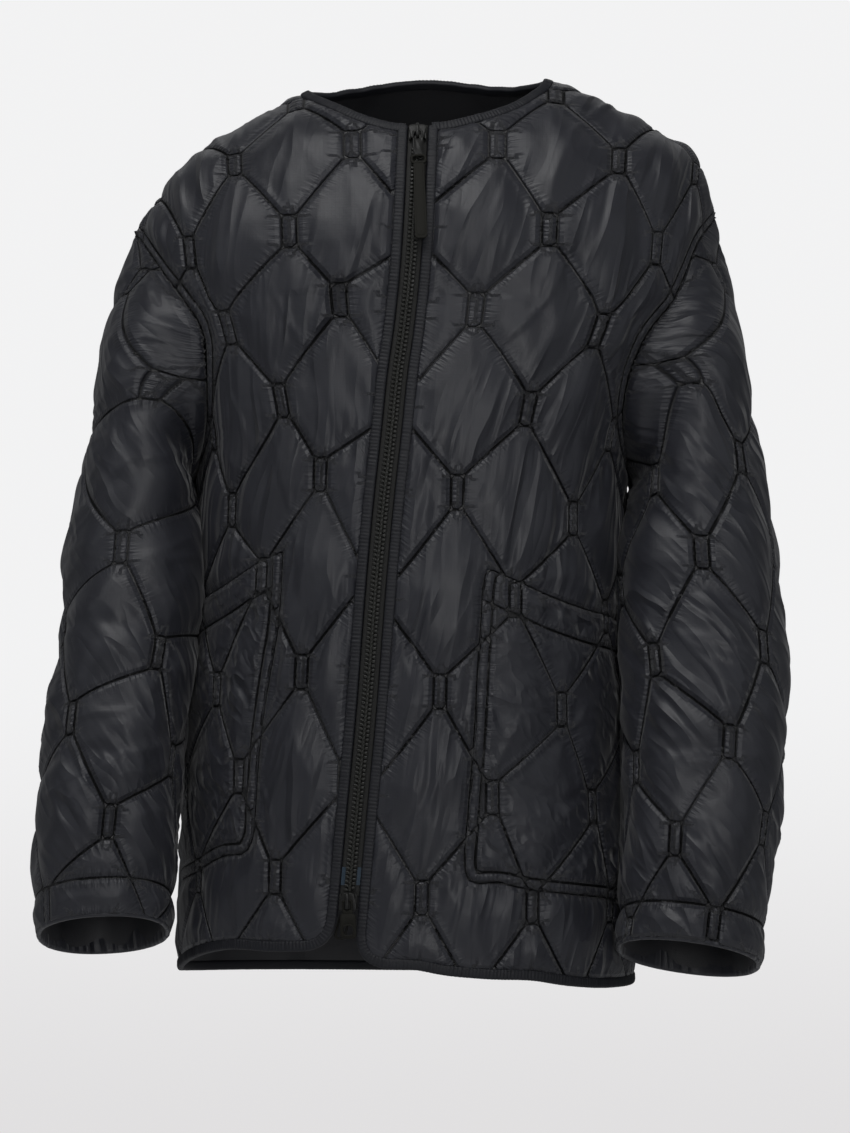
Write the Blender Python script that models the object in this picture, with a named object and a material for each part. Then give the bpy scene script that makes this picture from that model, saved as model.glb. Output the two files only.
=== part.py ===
"""Quilted zip jacket in its worn form, in millimetres until the meshes are made.

x runs to the viewer's right, y away from the viewer, z up. The origin is in the neck, level with the shoulders.
Every cloth panel is flat on a chart (u across, v up) that a torso or sleeve form carries into its worn place.
"""

import math

import bpy
import numpy as np
from mathutils.geometry import delaunay_2d_cdt

# ---------------------------------------------------------------- sizes, mm
wall = 2.6               # quilted cloth at a stitch line
puff = 6.4               # rise of a quilt cell over its stitch line
puff_reach = 34.0        # distance from a stitch line at which a cell is full height
seam_gap = 0.2           # each panel stops this short of its seam
bar_width = 10.0         # the short ladder-stitched bars between two cells
bar_height = 27.0
teeth_half = 4.5         # half the width of the zip teeth
tape_half = 8.0          # half the width of the open strip that holds the zip
binding_width = 8.4
binding_rise = 1.5       # binding over the stitch level, and the same under the wall
corner_radius = 30.0     # lower front corners
welt_width = 8.0         # topstitched strip beside the armhole
cuff_hem = 29.0          # turned and stitched hem of a sleeve
pocket_wall = 1.8
lie = 0.35               # a piece that lies on another stays this far off it
outer_step = 23.0
inner_step = 41.0

# ---------------------------------------------------------------- the worn torso
chest = -180.0
torso_power = 2.4
torso_quarter = 280.0
cap_growth = 16.0
torso_columns = ("z", "x_centre", "half_right", "half_left", "depth_front", "depth_back", "side_y")
torso_rows = np.array([
    (-765.0, -15.0, 187.0, 186.0, 174.0, 144.0, 20.0),
    (-735.0, -15.0, 187.0, 186.0, 173.0, 143.0, 20.0),
    (-700.0, -15.0, 186.0, 184.0, 173.0, 142.0, 20.0),
    (-640.0, -14.0, 184.0, 183.0, 172.0, 140.0, 20.0),
    (-560.0, -12.0, 184.0, 177.0, 170.0, 137.0, 21.0),
    (-480.0, -9.0, 182.0, 170.0, 168.0, 136.0, 21.0),
    (-400.0, -7.0, 177.5, 167.0, 165.0, 137.0, 20.0),
    (-330.0, -6.0, 176.5, 167.0, 160.0, 139.0, 18.0),
    (-285.0, -5.0, 180.0, 173.0, 155.0, 140.0, 14.0),
    (-240.0, -3.0, 197.0, 192.0, 149.0, 139.0, 11.0),
    (-210.0, -1.0, 209.0, 208.0, 145.0, 137.0, 8.0),
    (-180.0, 0.0, 222.0, 222.0, 140.0, 134.0, 6.0),
])
shoulder_columns = ("x", "z")
shoulder_line = np.array([
    (-242.0, -132.0), (-236.0, -120.0), (-215.0, -91.0), (-184.0, -56.5), (-148.0, -36.5), (-98.0, -7.0),
    (-60.0, 8.0), (0.0, 18.0), (60.0, 12.0), (109.0, 0.5), (151.0, -19.5), (197.0, -43.0), (225.0, -67.0),
    (236.0, -102.0), (242.0, -122.0),
])
back_neck_lift = 18.0    # the cloth behind the neck stands this much higher than the front's form
back_neck_reach = 95.0

# ---------------------------------------------------------------- lines on the torso chart, (u, v)
zip_columns = ("v", "u")
zip_line = np.array([
    (-760.0, -47.0), (-682.0, -44.0), (-640.0, -41.5), (-544.0, -35.5), (-389.0, -28.5), (-262.0, -18.0),
    (-152.0, -8.5), (-36.0, -4.0), (60.0, -1.0),
])
neck_front = [(-69, None), (-66, 24), (-59, 8), (-49, -7), (-35, -22), (-12, -33), (9, -31.5), (29, -23), (50, -8),
              (65, 17), (72, None)]
neck_back_depth = 62.0
hem_front_right = [(-83, -696), (-102, -696.7), (-139, -697), (-163, -701), (-196, -709), (-240, -720), (-280, -727)]
hem_front_left = [(6, -709), (25, -713), (60, -717), (100, -720), (114, -723), (152, -728.5), (200, -732), (280, -735)]
hem_back = [(280, -727), (200, -732), (100, -736), (0, -738), (-100, -738), (-200, -737), (-280, -735)]
armhole_lines = {
    ("right", "front"): [(-272, None), (-246, -121), (-222, -137), (-196, -160), (-174, -181), (-164, -203),
                         (-172, -235), (-190, -265), (-215, -289), (-246, -304), (-280, -308)],
    ("right", "back"): [(272, None), (244, -126), (215, -144), (190, -168), (176, -196), (174, -228),
                        (186, -262), (210, -289), (244, -303), (280, -308)],
    ("left", "front"): [(270, None), (244, -117), (219, -131), (199, -158), (182, -184), (168, -208),
                        (172, -238), (188, -268), (213, -290), (246, -304), (280, -308)],
    ("left", "back"): [(-270, None), (-244, -122), (-216, -142), (-192, -168), (-178, -196), (-175, -228),
                       (-186, -262), (-210, -289), (-244, -303), (-280, -308)],
}
pocket_columns = ("u", "v")
pocket_right = {
    "mouth": [(-262, -436), (-236, -430), (-202, -421), (-160, -408), (-124, -391), (-104, -383)],
    "side": [(-104, -383), (-106, -446), (-111, -482), (-115, -514), (-119, -578), (-120, -606)],
    "bottom": [(-120, -606), (-126, -618), (-149, -623), (-191, -638), (-262, -652)],
    "outer": [(-262, -652), (-262, -436)],
}
pocket_left = {
    "mouth": [(262, -449), (186, -434), (148, -428), (109, -417), (82, -406), (57, -396)],
    "side": [(57, -396), (55, -404), (53, -433), (51, -473), (49, -529), (42, -627)],
    "bottom": [(42, -627), (46, -639), (67, -641), (88, -646), (127, -652), (180, -659), (262, -670)],
    "outer": [(262, -670), (262, -449)],
}
pocket_band = 26.0
pocket_border = 8.0

# ---------------------------------------------------------------- quilting: bars of row r lie at u + i * step
quilt_columns = ("v", "u", "step", "sag", "tilt")
quilt_front_right = {
    -2: (78, -36, 37, 0), -1: (14, -40, 37, 2), 0: (-52, -43, 37.5, 4), 1: (-121, -44, 39, 7),
    2: (-184, -53, 42, 10), 3: (-251, -60, 43.5, 12), 4: (-322, -74, 42, 13.5), 5: (-391, -80, 41.5, 10),
    6: (-477, -84, 41, 7.5), 7: (-556, -91, 44, 4), 8: (-638, -100, 44, 2), 9: (-716, -104, 44, 2),
}
quilt_front_left = {
    -2: (78, 38, 38, 0), -1: (14, 40, 38, 2), 0: (-53, 43, 39, 4.5), 1: (-121, 35, 41, 6), 2: (-192, 32, 44, 7.5),
    3: (-261, 36, 48, 9), 4: (-336, 32, 52, 10), 5: (-413, 29, 51, 7), 6: (-492, 21, 51, 7.5), 7: (-570, 17, 46, 5),
    8: (-653, 11, 42, 4), 9: (-730, 8, 42, 4),
}
quilt_back = {r: (62 - 78 * r, 0, 44, 0) for r in range(-1, 12)}
quilt_sleeve = {
    "right": {0: (580, 114, 76, 0, -31), 1: (505, 112, 76, 0, -31), 2: (428, 110, 84, 0, -18),
              3: (378, 104, 86, 0, -17.5), 4: (294, 100, 72, 0, -17), 5: (226, 85, 54, 0, -17),
              6: (160, 70, 54, 0, -16), 7: (89, 60, 55, 0, -16), 8: (14, 52, 55, 0, -15)},
    "left": {0: (622, -104, 78, 0, 22), 1: (540, -104, 78, 0, 24), 2: (462, -106, 60, 0, 12),
             3: (385, -106, 38, 0, 12), 4: (310, -107, 41, 0, 12), 5: (232, -105, 44, 0, 11),
             6: (159, -93, 42, 0, 11), 7: (89, -90, 41, 0, 11), 8: (16, -92, 42, 0, 6)},
}

# ---------------------------------------------------------------- the worn sleeves
sleeve_quarter = 108.0
sleeve_power = 2.2
station_columns = ("x_outer", "z_outer", "x_inner", "z_inner", "y_middle", "half_depth", "front_rise")
sleeve_stations = {
    "right": [
        (-251, -182, -191, -327, 2, 97, 4), (-263, -255, -192, -352, -6, 94, 2), (-281, -341, -189, -380, -20, 90, 0),
        (-290, -425, -190.5, -436, -40, 86, 2), (-297, -500, -196, -502, -60, 80, 4), (-306, -580, -201.5, -578, -79, 73, 8),
        (-310, -650, -203.5, -648, -94, 64, 14), (-309, -690, -204, -684, -99, 62, 20)],
    "left": [
        (250, -182, 172, -327, 2, 97, 4), (261, -255, 168, -352, -8, 95, 2), (277, -341, 162.5, -380, -24, 92, 0),
        (285, -425, 162, -436, -46, 87, 2), (288, -500, 163.5, -502, -67, 83, 4), (281, -580, 163, -578, -88, 77, 8),
        (269, -668, 158, -655, -107, 68, 14), (266, -712, 152, -696, -113, 65, 18)],
}


# ---------------------------------------------------------------- curves and charts
def hermite_table(table, at):
    """Smooth values of the table's columns at the given values of its first column."""
    key = table[:, 0]
    slope = np.gradient(table, key, axis=0)
    at = np.clip(np.asarray(at, float), key[0], key[-1])
    k = np.clip(np.searchsorted(key, at) - 1, 0, len(key) - 2)
    h = (key[k + 1] - key[k])[:, None]
    t = (at - key[k])[:, None] / h
    start = table[k] * (1 + 2 * t) * (1 - t) ** 2 + slope[k] * h * t * (1 - t) ** 2
    return start + table[k + 1] * t * t * (3 - 2 * t) + slope[k + 1] * h * t * t * (t - 1)


def path(points, count=0, step=0.0):
    """Smooth curve through the points, at even distances: so many points, or about one a step."""
    p = np.asarray(points, float)
    d = np.concatenate([[0], np.cumsum(np.linalg.norm(np.diff(p, axis=0), axis=1))])
    fine = hermite_table(np.column_stack([d, p]), np.linspace(0, d[-1], 1500))[:, 1:]
    e = np.concatenate([[0], np.cumsum(np.linalg.norm(np.diff(fine, axis=0), axis=1))])
    count = count or max(2, int(round(e[-1] / step)) + 1)
    s = np.linspace(0, e[-1], count)
    return np.stack([np.interp(s, e, fine[:, i]) for i in range(p.shape[1])], 1)


def shoulder_height(x):
    return hermite_table(shoulder_line, np.ravel(x))[:, 1].reshape(np.shape(x))


class Chart:
    """A worn surface: columns of points over u, each with its own heights v."""

    def __init__(self, u, v, points):
        self.u, self.v, self.points = u, v, points

    def column(self, k, v):
        out = np.empty((len(k), 3))
        for c in np.unique(k):
            m = k == c
            for axis in range(3):
                out[m, axis] = np.interp(v[m], self.v[c], self.points[c, :, axis])
        return out

    def at(self, q):
        q = np.atleast_2d(np.asarray(q, float))
        w = np.clip((q[:, 0] - self.u[0]) / (self.u[-1] - self.u[0]), 0, 1) * (len(self.u) - 1)
        k = np.clip(np.floor(w).astype(int), 0, len(self.u) - 2)
        a = (w - k)[:, None]
        return self.column(k, q[:, 1]) * (1 - a) + self.column(k + 1, q[:, 1]) * a

    def top(self, u):
        return np.interp(u, self.u, self.v[:, -1])

    def across(self, q, e=2.0):
        """Millimetres of cloth for one unit of u."""
        q = np.atleast_2d(np.asarray(q, float))
        return np.linalg.norm(self.at(q + (e, 0)) - self.at(q - (e, 0)), axis=1) / (2 * e)

    def normal(self, q, e=2.5):
        q = np.atleast_2d(np.asarray(q, float)).copy()
        q[:, 0] = np.clip(q[:, 0], self.u[0] + e, self.u[-1] - e)
        q[:, 1] = np.minimum(q[:, 1], self.top(q[:, 0]) - 1.5 * e)
        n = np.cross(self.at(q + (e, 0)) - self.at(q - (e, 0)), self.at(q + (0, e)) - self.at(q - (0, e)))
        return n / np.linalg.norm(n, axis=1)[:, None]


def torso_chart(front):
    """Half of the torso, side seam to side seam: rings up to the chest, then a cap that closes at the shoulder line."""
    p = np.linspace(0, math.pi / 2, 4001)
    across, away = np.sin(p) ** (2 / torso_power), np.cos(p) ** (2 / torso_power)
    arc = np.concatenate([[0], np.cumsum(np.hypot(np.diff(across), np.diff(away)))])
    f = np.linspace(-1, 1, 121)
    s = np.interp(abs(f), arc / arc[-1], across) * np.sign(f)
    c = np.interp(abs(f), arc / arc[-1], away)
    c[0] = c[-1] = 0
    heights = np.linspace(torso_rows[0, 0], chest, 90)
    rows = hermite_table(torso_rows, heights)
    depth, sign = (4, -1) if front else (5, 1)
    half = np.where(f[:, None] < 0, rows[None, :, 2], rows[None, :, 3])
    side_y = rows[None, :, 6]
    low = np.stack([rows[None, :, 1] + half * s[:, None],
                    side_y + (sign * rows[None, :, depth] - side_y) * c[:, None],
                    np.broadcast_to(heights[None], half.shape)], -1)
    lift = np.sin(np.linspace(0, math.pi / 2, 41)[1:])[None]
    x = torso_rows[-1, 1] + (torso_rows[-1, 2] + cap_growth * lift) * s[:, None]
    line = shoulder_height(x)
    if not front:
        line = line + back_neck_lift * np.clip(1 - (x / back_neck_reach) ** 2, 0, 1) ** 2
    z = chest + (line - chest) * lift
    side_y = torso_rows[-1, 6]
    y = (side_y + (sign * torso_rows[-1, depth] - side_y) * c[:, None]) * np.sqrt(np.clip(1 - lift ** 2, 0, 1))
    points = np.concatenate([low, np.stack([x, y, z], -1)], 1)
    rise = chest + np.cumsum(np.linalg.norm(np.diff(points[:, 89:], axis=1), axis=-1), 1)
    heights = np.concatenate([low[..., 2], rise], 1)
    if not front:
        points, heights = points[::-1], heights[::-1]
    return Chart(f * torso_quarter, heights, points)


def seam_points(chart, line, step=outer_step):
    """The line with its open ends set on the shoulder line, at even steps."""
    line = [(u, chart.top(u)) if v is None else (u, v) for u, v in line]
    return path(line, step=step)


def unit(a):
    return a / np.maximum(np.linalg.norm(a, axis=1), 1e-9)[:, None]


def lengths(p):
    return np.concatenate([[0], np.cumsum(np.linalg.norm(np.diff(p, axis=0), axis=1))])


def sleeve_chart(side, front_loop, back_loop):
    """A sleeve from cuff to armhole. u is 0 along the top of the arm and ends at the underarm seam."""
    f = np.linspace(-1, 1, 121)
    ef, eb = lengths(front_loop), lengths(back_loop)
    ahead = np.stack([np.interp(-f, ef / ef[-1], front_loop[:, i]) for i in range(3)], 1)
    behind = np.stack([np.interp(f, eb / eb[-1], back_loop[:, i]) for i in range(3)], 1)
    rings = [np.where((f < 0)[:, None], ahead, behind)]
    p = np.linspace(0, math.pi, 4001)
    ex = np.sign(np.cos(p)) * abs(np.cos(p)) ** (2 / sleeve_power)
    ey = abs(np.sin(p)) ** (2 / sleeve_power)
    for x_outer, z_outer, x_inner, z_inner, y_middle, half_depth, front_rise in sleeve_stations[side]:
        half = (x_outer - x_inner) / 2
        arc = np.concatenate([[0], np.cumsum(np.hypot(np.diff(ex) * half, np.diff(ey) * half_depth))])
        c = np.interp(abs(f), arc / arc[-1], ex)
        s = np.interp(abs(f), arc / arc[-1], ey) * np.where(f < 0, -1, 1)
        rings.append(np.stack([(x_outer + x_inner) / 2 + half * c, y_middle + half_depth * s,
                               (z_outer + z_inner) / 2 + (z_outer - z_inner) / 2 * c - front_rise * s], 1))
    rings = np.array(rings)
    points = np.array([path(rings[:, k], count=70)[::-1] for k in range(len(f))])
    if side == "right":
        points = points[::-1]
    rise = np.cumsum(np.linalg.norm(np.diff(points, axis=1), axis=-1), 1)
    return Chart(f * 2 * sleeve_quarter, np.concatenate([np.zeros((len(f), 1)), rise], 1), points)


# ---------------------------------------------------------------- flat geometry
def inside(points, loop):
    x, y = points[:, 0][:, None], points[:, 1][:, None]
    a, b = loop, np.roll(loop, -1, axis=0)
    crosses = (a[:, 1] > y) != (b[:, 1] > y)
    slope = (b[:, 0] - a[:, 0]) / np.where(b[:, 1] == a[:, 1], 1e-9, b[:, 1] - a[:, 1])
    return (crosses & (x < a[:, 0] + (y - a[:, 1]) * slope)).sum(1) % 2 == 1


def distance(points, starts, ends):
    """Distance from each point to the nearest of the segments."""
    best = np.full(len(points), 1e9)
    for a, b in zip(starts, ends):
        d = b - a
        t = np.clip(((points - a) @ d) / max(d @ d, 1e-12), 0, 1)
        best = np.minimum(best, np.linalg.norm(points - a - t[:, None] * d, axis=1))
    return best


def area_sign(loop):
    return np.sign((loop[:, 0] * np.roll(loop[:, 1], -1) - loop[:, 1] * np.roll(loop[:, 0], -1)).sum())


def shifted(chart, line, by, closed=False):
    """The line moved to its left by so many millimetres of cloth."""
    flat = np.asarray(line, float)
    t = np.roll(flat, -1, axis=0) - np.roll(flat, 1, axis=0) if closed else np.gradient(flat, axis=0)
    q = flat.copy()
    q[:, 0] = np.clip(q[:, 0], chart.u[0] + 2, chart.u[-1] - 2)
    q[:, 1] = np.minimum(q[:, 1], chart.top(q[:, 0]) - 3)
    pu = (chart.at(q + (2, 0)) - chart.at(q - (2, 0))) / 4
    pv = (chart.at(q + (0, 2)) - chart.at(q - (0, 2))) / 4
    along = pu * t[:, :1] + pv * t[:, 1:]
    left = unit(np.cross(unit(np.cross(pu, pv)), along))
    uu, uv, vv = (pu * pu).sum(1), (pu * pv).sum(1), (pv * pv).sum(1)
    lu, lv = (left * pu).sum(1), (left * pv).sum(1)
    det = np.maximum(uu * vv - uv * uv, 1e-9)
    return flat + by * np.column_stack([(lu * vv - lv * uv) / det, (lv * uu - lu * uv) / det])


def joined(*parts):
    """Paths end to end, each shared end once."""
    out = [parts[0]]
    for p in parts[1:]:
        out.append(p[1:] if np.linalg.norm(p[0] - out[-1][-1]) < 0.5 else p)
    loop = np.concatenate(out)
    return loop[:-1] if np.linalg.norm(loop[0] - loop[-1]) < 0.5 else loop


def quilt_lines(rows, loop, columns, margin=4.5, across=1.0):
    """Stitch lines of the quilting, cut off short of the panel's edge: bar outlines, and the slants from bar to bar."""
    w, h = bar_width / 2 / across, bar_height / 2
    bars = {}
    for r, (v, u, step, sag, *tilt) in rows.items():
        for i in range(-columns, columns + 1):
            if (i + r) % 2 == 0:
                bars[i, r] = (u + i * step, v - sag * min(abs(i), 3) + i * sum(tilt))
    segments = []
    for (i, r), (u, v) in bars.items():
        segments += [((u - w, v - h), (u - w, v + h)), ((u + w, v - h), (u + w, v + h)),
                     ((u - w, v - h), (u + w, v - h)), ((u - w, v + h), (u + w, v + h))]
        for step in (-1, 1):
            if (i + step, r + 1) in bars:
                p, q = bars[i + step, r + 1]
                segments.append(((u + step * w, v - h), (p - step * w, q + h)))
    edge_a, edge_b = loop, np.roll(loop, -1, axis=0)
    kept = []
    for a, b in segments:
        a, b = np.array(a), np.array(b)
        t = np.linspace(0, 1, 81)
        p = a + (b - a) * t[:, None]
        ok = inside(p, loop)
        if ok.any():
            ok[ok] = distance(p[ok], edge_a, edge_b) > margin
        if ok.sum() < 2:
            continue
        run = np.flatnonzero(ok)
        for part in np.split(run, np.flatnonzero(np.diff(run) > 1) + 1):
            if len(part) > 1 and np.linalg.norm(p[part[-1]] - p[part[0]]) > 4:
                kept.append((p[part[0]], p[part[-1]]))
    return kept


def split_lines(lines, step=26.0):
    """Each segment in pieces no longer than a step."""
    out = []
    for a, b in lines:
        n = max(1, int(math.ceil(np.linalg.norm(b - a) / step)))
        t = np.linspace(0, 1, n + 1)[:, None]
        p = a + (b - a) * t
        out += [(p[k], p[k + 1]) for k in range(n)]
    return out


def polyline(points):
    return [(points[k], points[k + 1]) for k in range(len(points) - 1)]


def triangulate(loop, lines, free):
    """Flat triangles inside the loop that follow the lines."""
    verts = [tuple(p) for p in loop]
    edges = []
    seen = {(round(p[0], 2), round(p[1], 2)): k for k, p in enumerate(verts)}
    for a, b in lines:
        ids = []
        for p in (a, b):
            key = (round(p[0], 2), round(p[1], 2))
            if key not in seen:
                seen[key] = len(verts)
                verts.append(tuple(p))
            ids.append(seen[key])
        if ids[0] != ids[1]:
            edges.append(tuple(ids))
    verts += [tuple(p) for p in free]
    made = delaunay_2d_cdt(verts, edges, [list(range(len(loop)))], 1, 1e-3)
    points = np.array([tuple(p) for p in made[0]])
    tris = np.array([f for f in made[2]])
    corner = points[tris]
    d1, d2 = corner[:, 1] - corner[:, 0], corner[:, 2] - corner[:, 0]
    turn = d1[:, 0] * d2[:, 1] - d1[:, 1] * d2[:, 0]
    tris = tris[abs(turn) > 1e-3]
    turn = turn[abs(turn) > 1e-3]
    tris[turn < 0] = tris[turn < 0][:, ::-1]
    return points, tris


def free_points(loop, lines, step, ring=9.0):
    """Points in the open of the cells: a ring beside the lines, then an even field."""
    a = np.array([s[0] for s in lines] + list(loop))
    b = np.array([s[1] for s in lines] + list(np.roll(loop, -1, axis=0)))
    beside = []
    for p, q in zip(a, b):
        length = np.linalg.norm(q - p)
        if length < 8:
            continue
        d = (q - p) / length
        n = np.array([-d[1], d[0]])
        count = max(1, int(round(length / step)))
        for t in (np.arange(count) + 0.5) / count:
            beside += [p + d * t * length + n * ring, p + d * t * length - n * ring]
    beside = np.array(beside)
    beside = beside[inside(beside, loop)]
    beside = beside[distance(beside, a, b) > ring * 0.93]
    kept = []
    for p in beside:
        if not kept or np.min(np.linalg.norm(np.array(kept) - p, axis=1)) > step * 0.62:
            kept.append(p)
    low, high = loop.min(0), loop.max(0)
    field = []
    for row, v in enumerate(np.arange(low[1], high[1], step * 0.9)):
        for u in np.arange(low[0] + (row % 2) * step / 2, high[0], step):
            field.append((u, v))
    field = np.array(field)
    field = field[inside(field, loop)]
    field = field[distance(field, a, b) > ring + step * 0.55]
    for p in field:
        if np.min(np.linalg.norm(np.array(kept) - p, axis=1)) > step * 0.72:
            kept.append(p)
    return np.array(kept)


def rise_at(q, starts, ends, height, reach=puff_reach):
    t = np.clip(distance(q, starts, ends) / reach, 0, 1)
    return height * (1 - (1 - t) ** 2)


# ---------------------------------------------------------------- solids
def add_mesh(name, points, faces, material, smooth=True):
    points = np.asarray(points, float)
    fans = np.array([(f[0], f[k], f[k + 1]) for f in faces for k in range(1, len(f) - 1)])
    corner = points[fans] - points.mean(0)
    if (corner[:, 0] * np.cross(corner[:, 1], corner[:, 2])).sum() < 0:
        faces = [f[::-1] for f in faces]
    mesh = bpy.data.meshes.new(name)
    mesh.from_pydata([tuple(p / 1000) for p in np.asarray(points, float)], [], [tuple(int(i) for i in f) for f in faces])
    mesh.validate()
    mesh.materials.append(material)
    mesh.polygons.foreach_set("use_smooth", [smooth] * len(mesh.polygons))
    obj = bpy.data.objects.new(name, mesh)
    bpy.context.scene.collection.objects.link(obj)
    return obj


def edge_loop(tris, count):
    """The border of the triangles as directed edges."""
    e = np.concatenate([tris[:, [0, 1]], tris[:, [1, 2]], tris[:, [2, 0]]])
    key = {(int(a), int(b)) for a, b in e}
    return [(a, b) for a, b in key if (b, a) not in key]


class Panel:
    """A cloth panel: outer skin with its quilting, plain inner skin, and a rim between them."""

    def __init__(self, chart, loop, lines, welts=()):
        if area_sign(loop) < 0:
            loop = loop[::-1]
        self.chart, self.loop = chart, loop
        self.lines = split_lines(lines)
        self.other = split_lines(list(welts))
        every = self.lines + self.other
        self.q, self.tris = triangulate(loop, every, free_points(loop, every, outer_step))
        self.border = edge_loop(self.tris, len(self.q))
        on = sorted({k for edge in self.border for k in edge})
        self.inner_q, self.inner_tris = triangulate(
            np.array([self.q[k] for k in self.ordered()]), [], inner_field(self.q[self.ordered()]))
        self.base, self.normal = chart.at(self.q), chart.normal(self.q)
        self.inner_base, self.inner_normal = chart.at(self.inner_q), chart.normal(self.inner_q)
        self.on_edge = np.array(on)
        starts = np.array([s[0] for s in every] + list(loop))
        ends = np.array([s[1] for s in every] + list(np.roll(loop, -1, axis=0)))
        self.rise = rise_at(self.q, starts, ends, puff)
        self.rise[self.on_edge] = 0

    def ordered(self):
        """Border points in order round the panel."""
        follow = dict(self.border)
        start = self.border[0][0]
        out = [start]
        while follow[out[-1]] != start:
            out.append(follow[out[-1]])
        return np.array(out)

    def set_seam(self, where, points, normals):
        """Moves border points that lie on a shared seam (matched on the chart) to the seam's own places and normals."""
        for q, p, n in zip(where, points, normals):
            k = np.argmin(np.linalg.norm(self.q - q, axis=1))
            j = np.argmin(np.linalg.norm(self.inner_q - q, axis=1))
            if np.linalg.norm(self.q[k] - q) < 0.6:
                self.base[k], self.normal[k] = p, n
            if np.linalg.norm(self.inner_q[j] - q) < 0.6:
                self.inner_base[j], self.inner_normal[j] = p, n

    def outer(self):
        return self.base + self.normal * self.rise[:, None]

    def build(self, name, material):
        outer = self.outer()
        inner = self.inner_base - self.inner_normal * wall
        count = len(outer)
        ring = self.ordered()
        match = {int(k): int(np.argmin(np.linalg.norm(self.inner_q - self.q[k], axis=1))) for k in ring}
        faces = [tuple(f) for f in self.tris] + [tuple(f[::-1] + count) for f in self.inner_tris]
        for a, b in self.border:
            faces.append((b, a, match[a] + count))
            faces.append((b, match[a] + count, match[b] + count))
        return add_mesh(name, np.concatenate([outer, inner]), faces, material)


def inner_field(loop):
    low, high = loop.min(0), loop.max(0)
    field = []
    for row, v in enumerate(np.arange(low[1] + 8, high[1], inner_step * 0.88)):
        for u in np.arange(low[0] + 8 + (row % 2) * inner_step / 2, high[0], inner_step):
            field.append((u, v))
    field = np.array(field)
    field = field[inside(field, loop)]
    return field[distance(field, loop, np.roll(loop, -1, axis=0)) > inner_step * 0.45]


def overlay(panel, name, loop, material, thickness, extra, limit):
    """A piece that lies on a panel: the panel's own outer points, moved out."""
    centre = panel.q[panel.tris].mean(1)
    tris = panel.tris[inside(centre, loop)]
    used = np.unique(tris)
    index = {int(k): n for n, k in enumerate(used)}
    tris = np.array([[index[int(k)] for k in t] for t in tris])
    q = panel.q[used]
    starts = np.array([s[0] for s in panel.lines + panel.other])
    ends = np.array([s[1] for s in panel.lines + panel.other])
    under = panel.outer()[used] + panel.normal[used] * lie
    rise = np.minimum(rise_at(q, starts, ends, extra, 26.0), limit[used])
    top = under + panel.normal[used] * (thickness + np.maximum(rise, 0))[:, None]
    count = len(used)
    border = edge_loop(tris, count)
    faces = [tuple(f) for f in tris] + [tuple(f[::-1] + count) for f in tris]
    for a, b in border:
        faces += [(b, a, a + count), (b, a + count, b + count)]
    add_mesh(name, np.concatenate([top, under]), faces, material)
    return np.concatenate([top, top[tris].mean(1)])


def sweep(name, points, normals, profile, material, closed=False):
    """A profile (sideways, outward) carried along the points. Sideways is to the right of travel seen from outside."""
    points, normals = np.asarray(points, float), np.asarray(normals, float)
    if closed:
        t = np.roll(points, -1, axis=0) - np.roll(points, 1, axis=0)
    else:
        t = np.gradient(points, axis=0)
    t /= np.linalg.norm(t, axis=1)[:, None]
    side = np.cross(t, normals)
    side /= np.linalg.norm(side, axis=1)[:, None]
    out = np.cross(side, t)
    profile = np.asarray(profile, float)
    if area_sign(profile) < 0:
        profile = profile[::-1]
    m, n = len(profile), len(points)
    verts = (points[:, None] + side[:, None] * profile[None, :, :1] + out[:, None] * profile[None, :, 1:]).reshape(-1, 3)
    faces = []
    for k in range(n if closed else n - 1):
        a, b = k * m, ((k + 1) % n) * m
        for j in range(m):
            i = (j + 1) % m
            faces.append((a + j, a + i, b + i, b + j))
    if not closed:
        faces += [tuple(range(m))[::-1], tuple(range((n - 1) * m, n * m))]
    return add_mesh(name, verts, faces, material, smooth=False)


class Place:
    """A small flat frame on the cloth: right, up along the zip, out."""

    def __init__(self, chart, q, turn=0.0):
        self.origin = chart.at([q])[0]
        self.out = chart.normal([q])[0]
        up = chart.at([(q[0], q[1] + 4)])[0] - chart.at([(q[0], q[1] - 4)])[0]
        up -= self.out * (up @ self.out)
        up /= np.linalg.norm(up)
        right = np.cross(up, self.out)
        self.up = up * math.cos(turn) + right * math.sin(turn)
        self.right = np.cross(self.up, self.out)

    def put(self, p):
        p = np.atleast_2d(np.asarray(p, float))
        return self.origin + p[:, :1] * self.right + p[:, 1:2] * self.up + p[:, 2:] * self.out


def plate(name, place, outline, holes, low, high, material):
    """A flat plate with holes, from height low to high over the cloth."""
    loops = [np.asarray(outline, float)] + [np.asarray(h, float) for h in holes]
    verts, edges = [], []
    for loop in loops:
        start = len(verts)
        verts += [tuple(p) for p in loop]
        edges += [(start + k, start + (k + 1) % len(loop)) for k in range(len(loop))]
    made = delaunay_2d_cdt(verts, edges, [], 0, 1e-5)
    q = np.array([tuple(p) for p in made[0]])
    tris = np.array([f for f in made[2]])
    centre = q[tris].mean(1)
    keep = inside(centre, loops[0])
    for h in loops[1:]:
        keep &= ~inside(centre, h)
    tris = tris[keep]
    corner = q[tris]
    d1, d2 = corner[:, 1] - corner[:, 0], corner[:, 2] - corner[:, 0]
    turn = d1[:, 0] * d2[:, 1] - d1[:, 1] * d2[:, 0]
    tris[turn < 0] = tris[turn < 0][:, ::-1]
    count = len(q)
    top = place.put(np.column_stack([q, np.full(count, high)]))
    bottom = place.put(np.column_stack([q, np.full(count, low)]))
    faces = [tuple(f) for f in tris] + [tuple(f[::-1] + count) for f in tris]
    for a, b in edge_loop(tris, count):
        faces += [(b, a, a + count), (b, a + count, b + count)]
    return add_mesh(name, np.concatenate([top, bottom]), faces, material, smooth=False)


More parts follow.
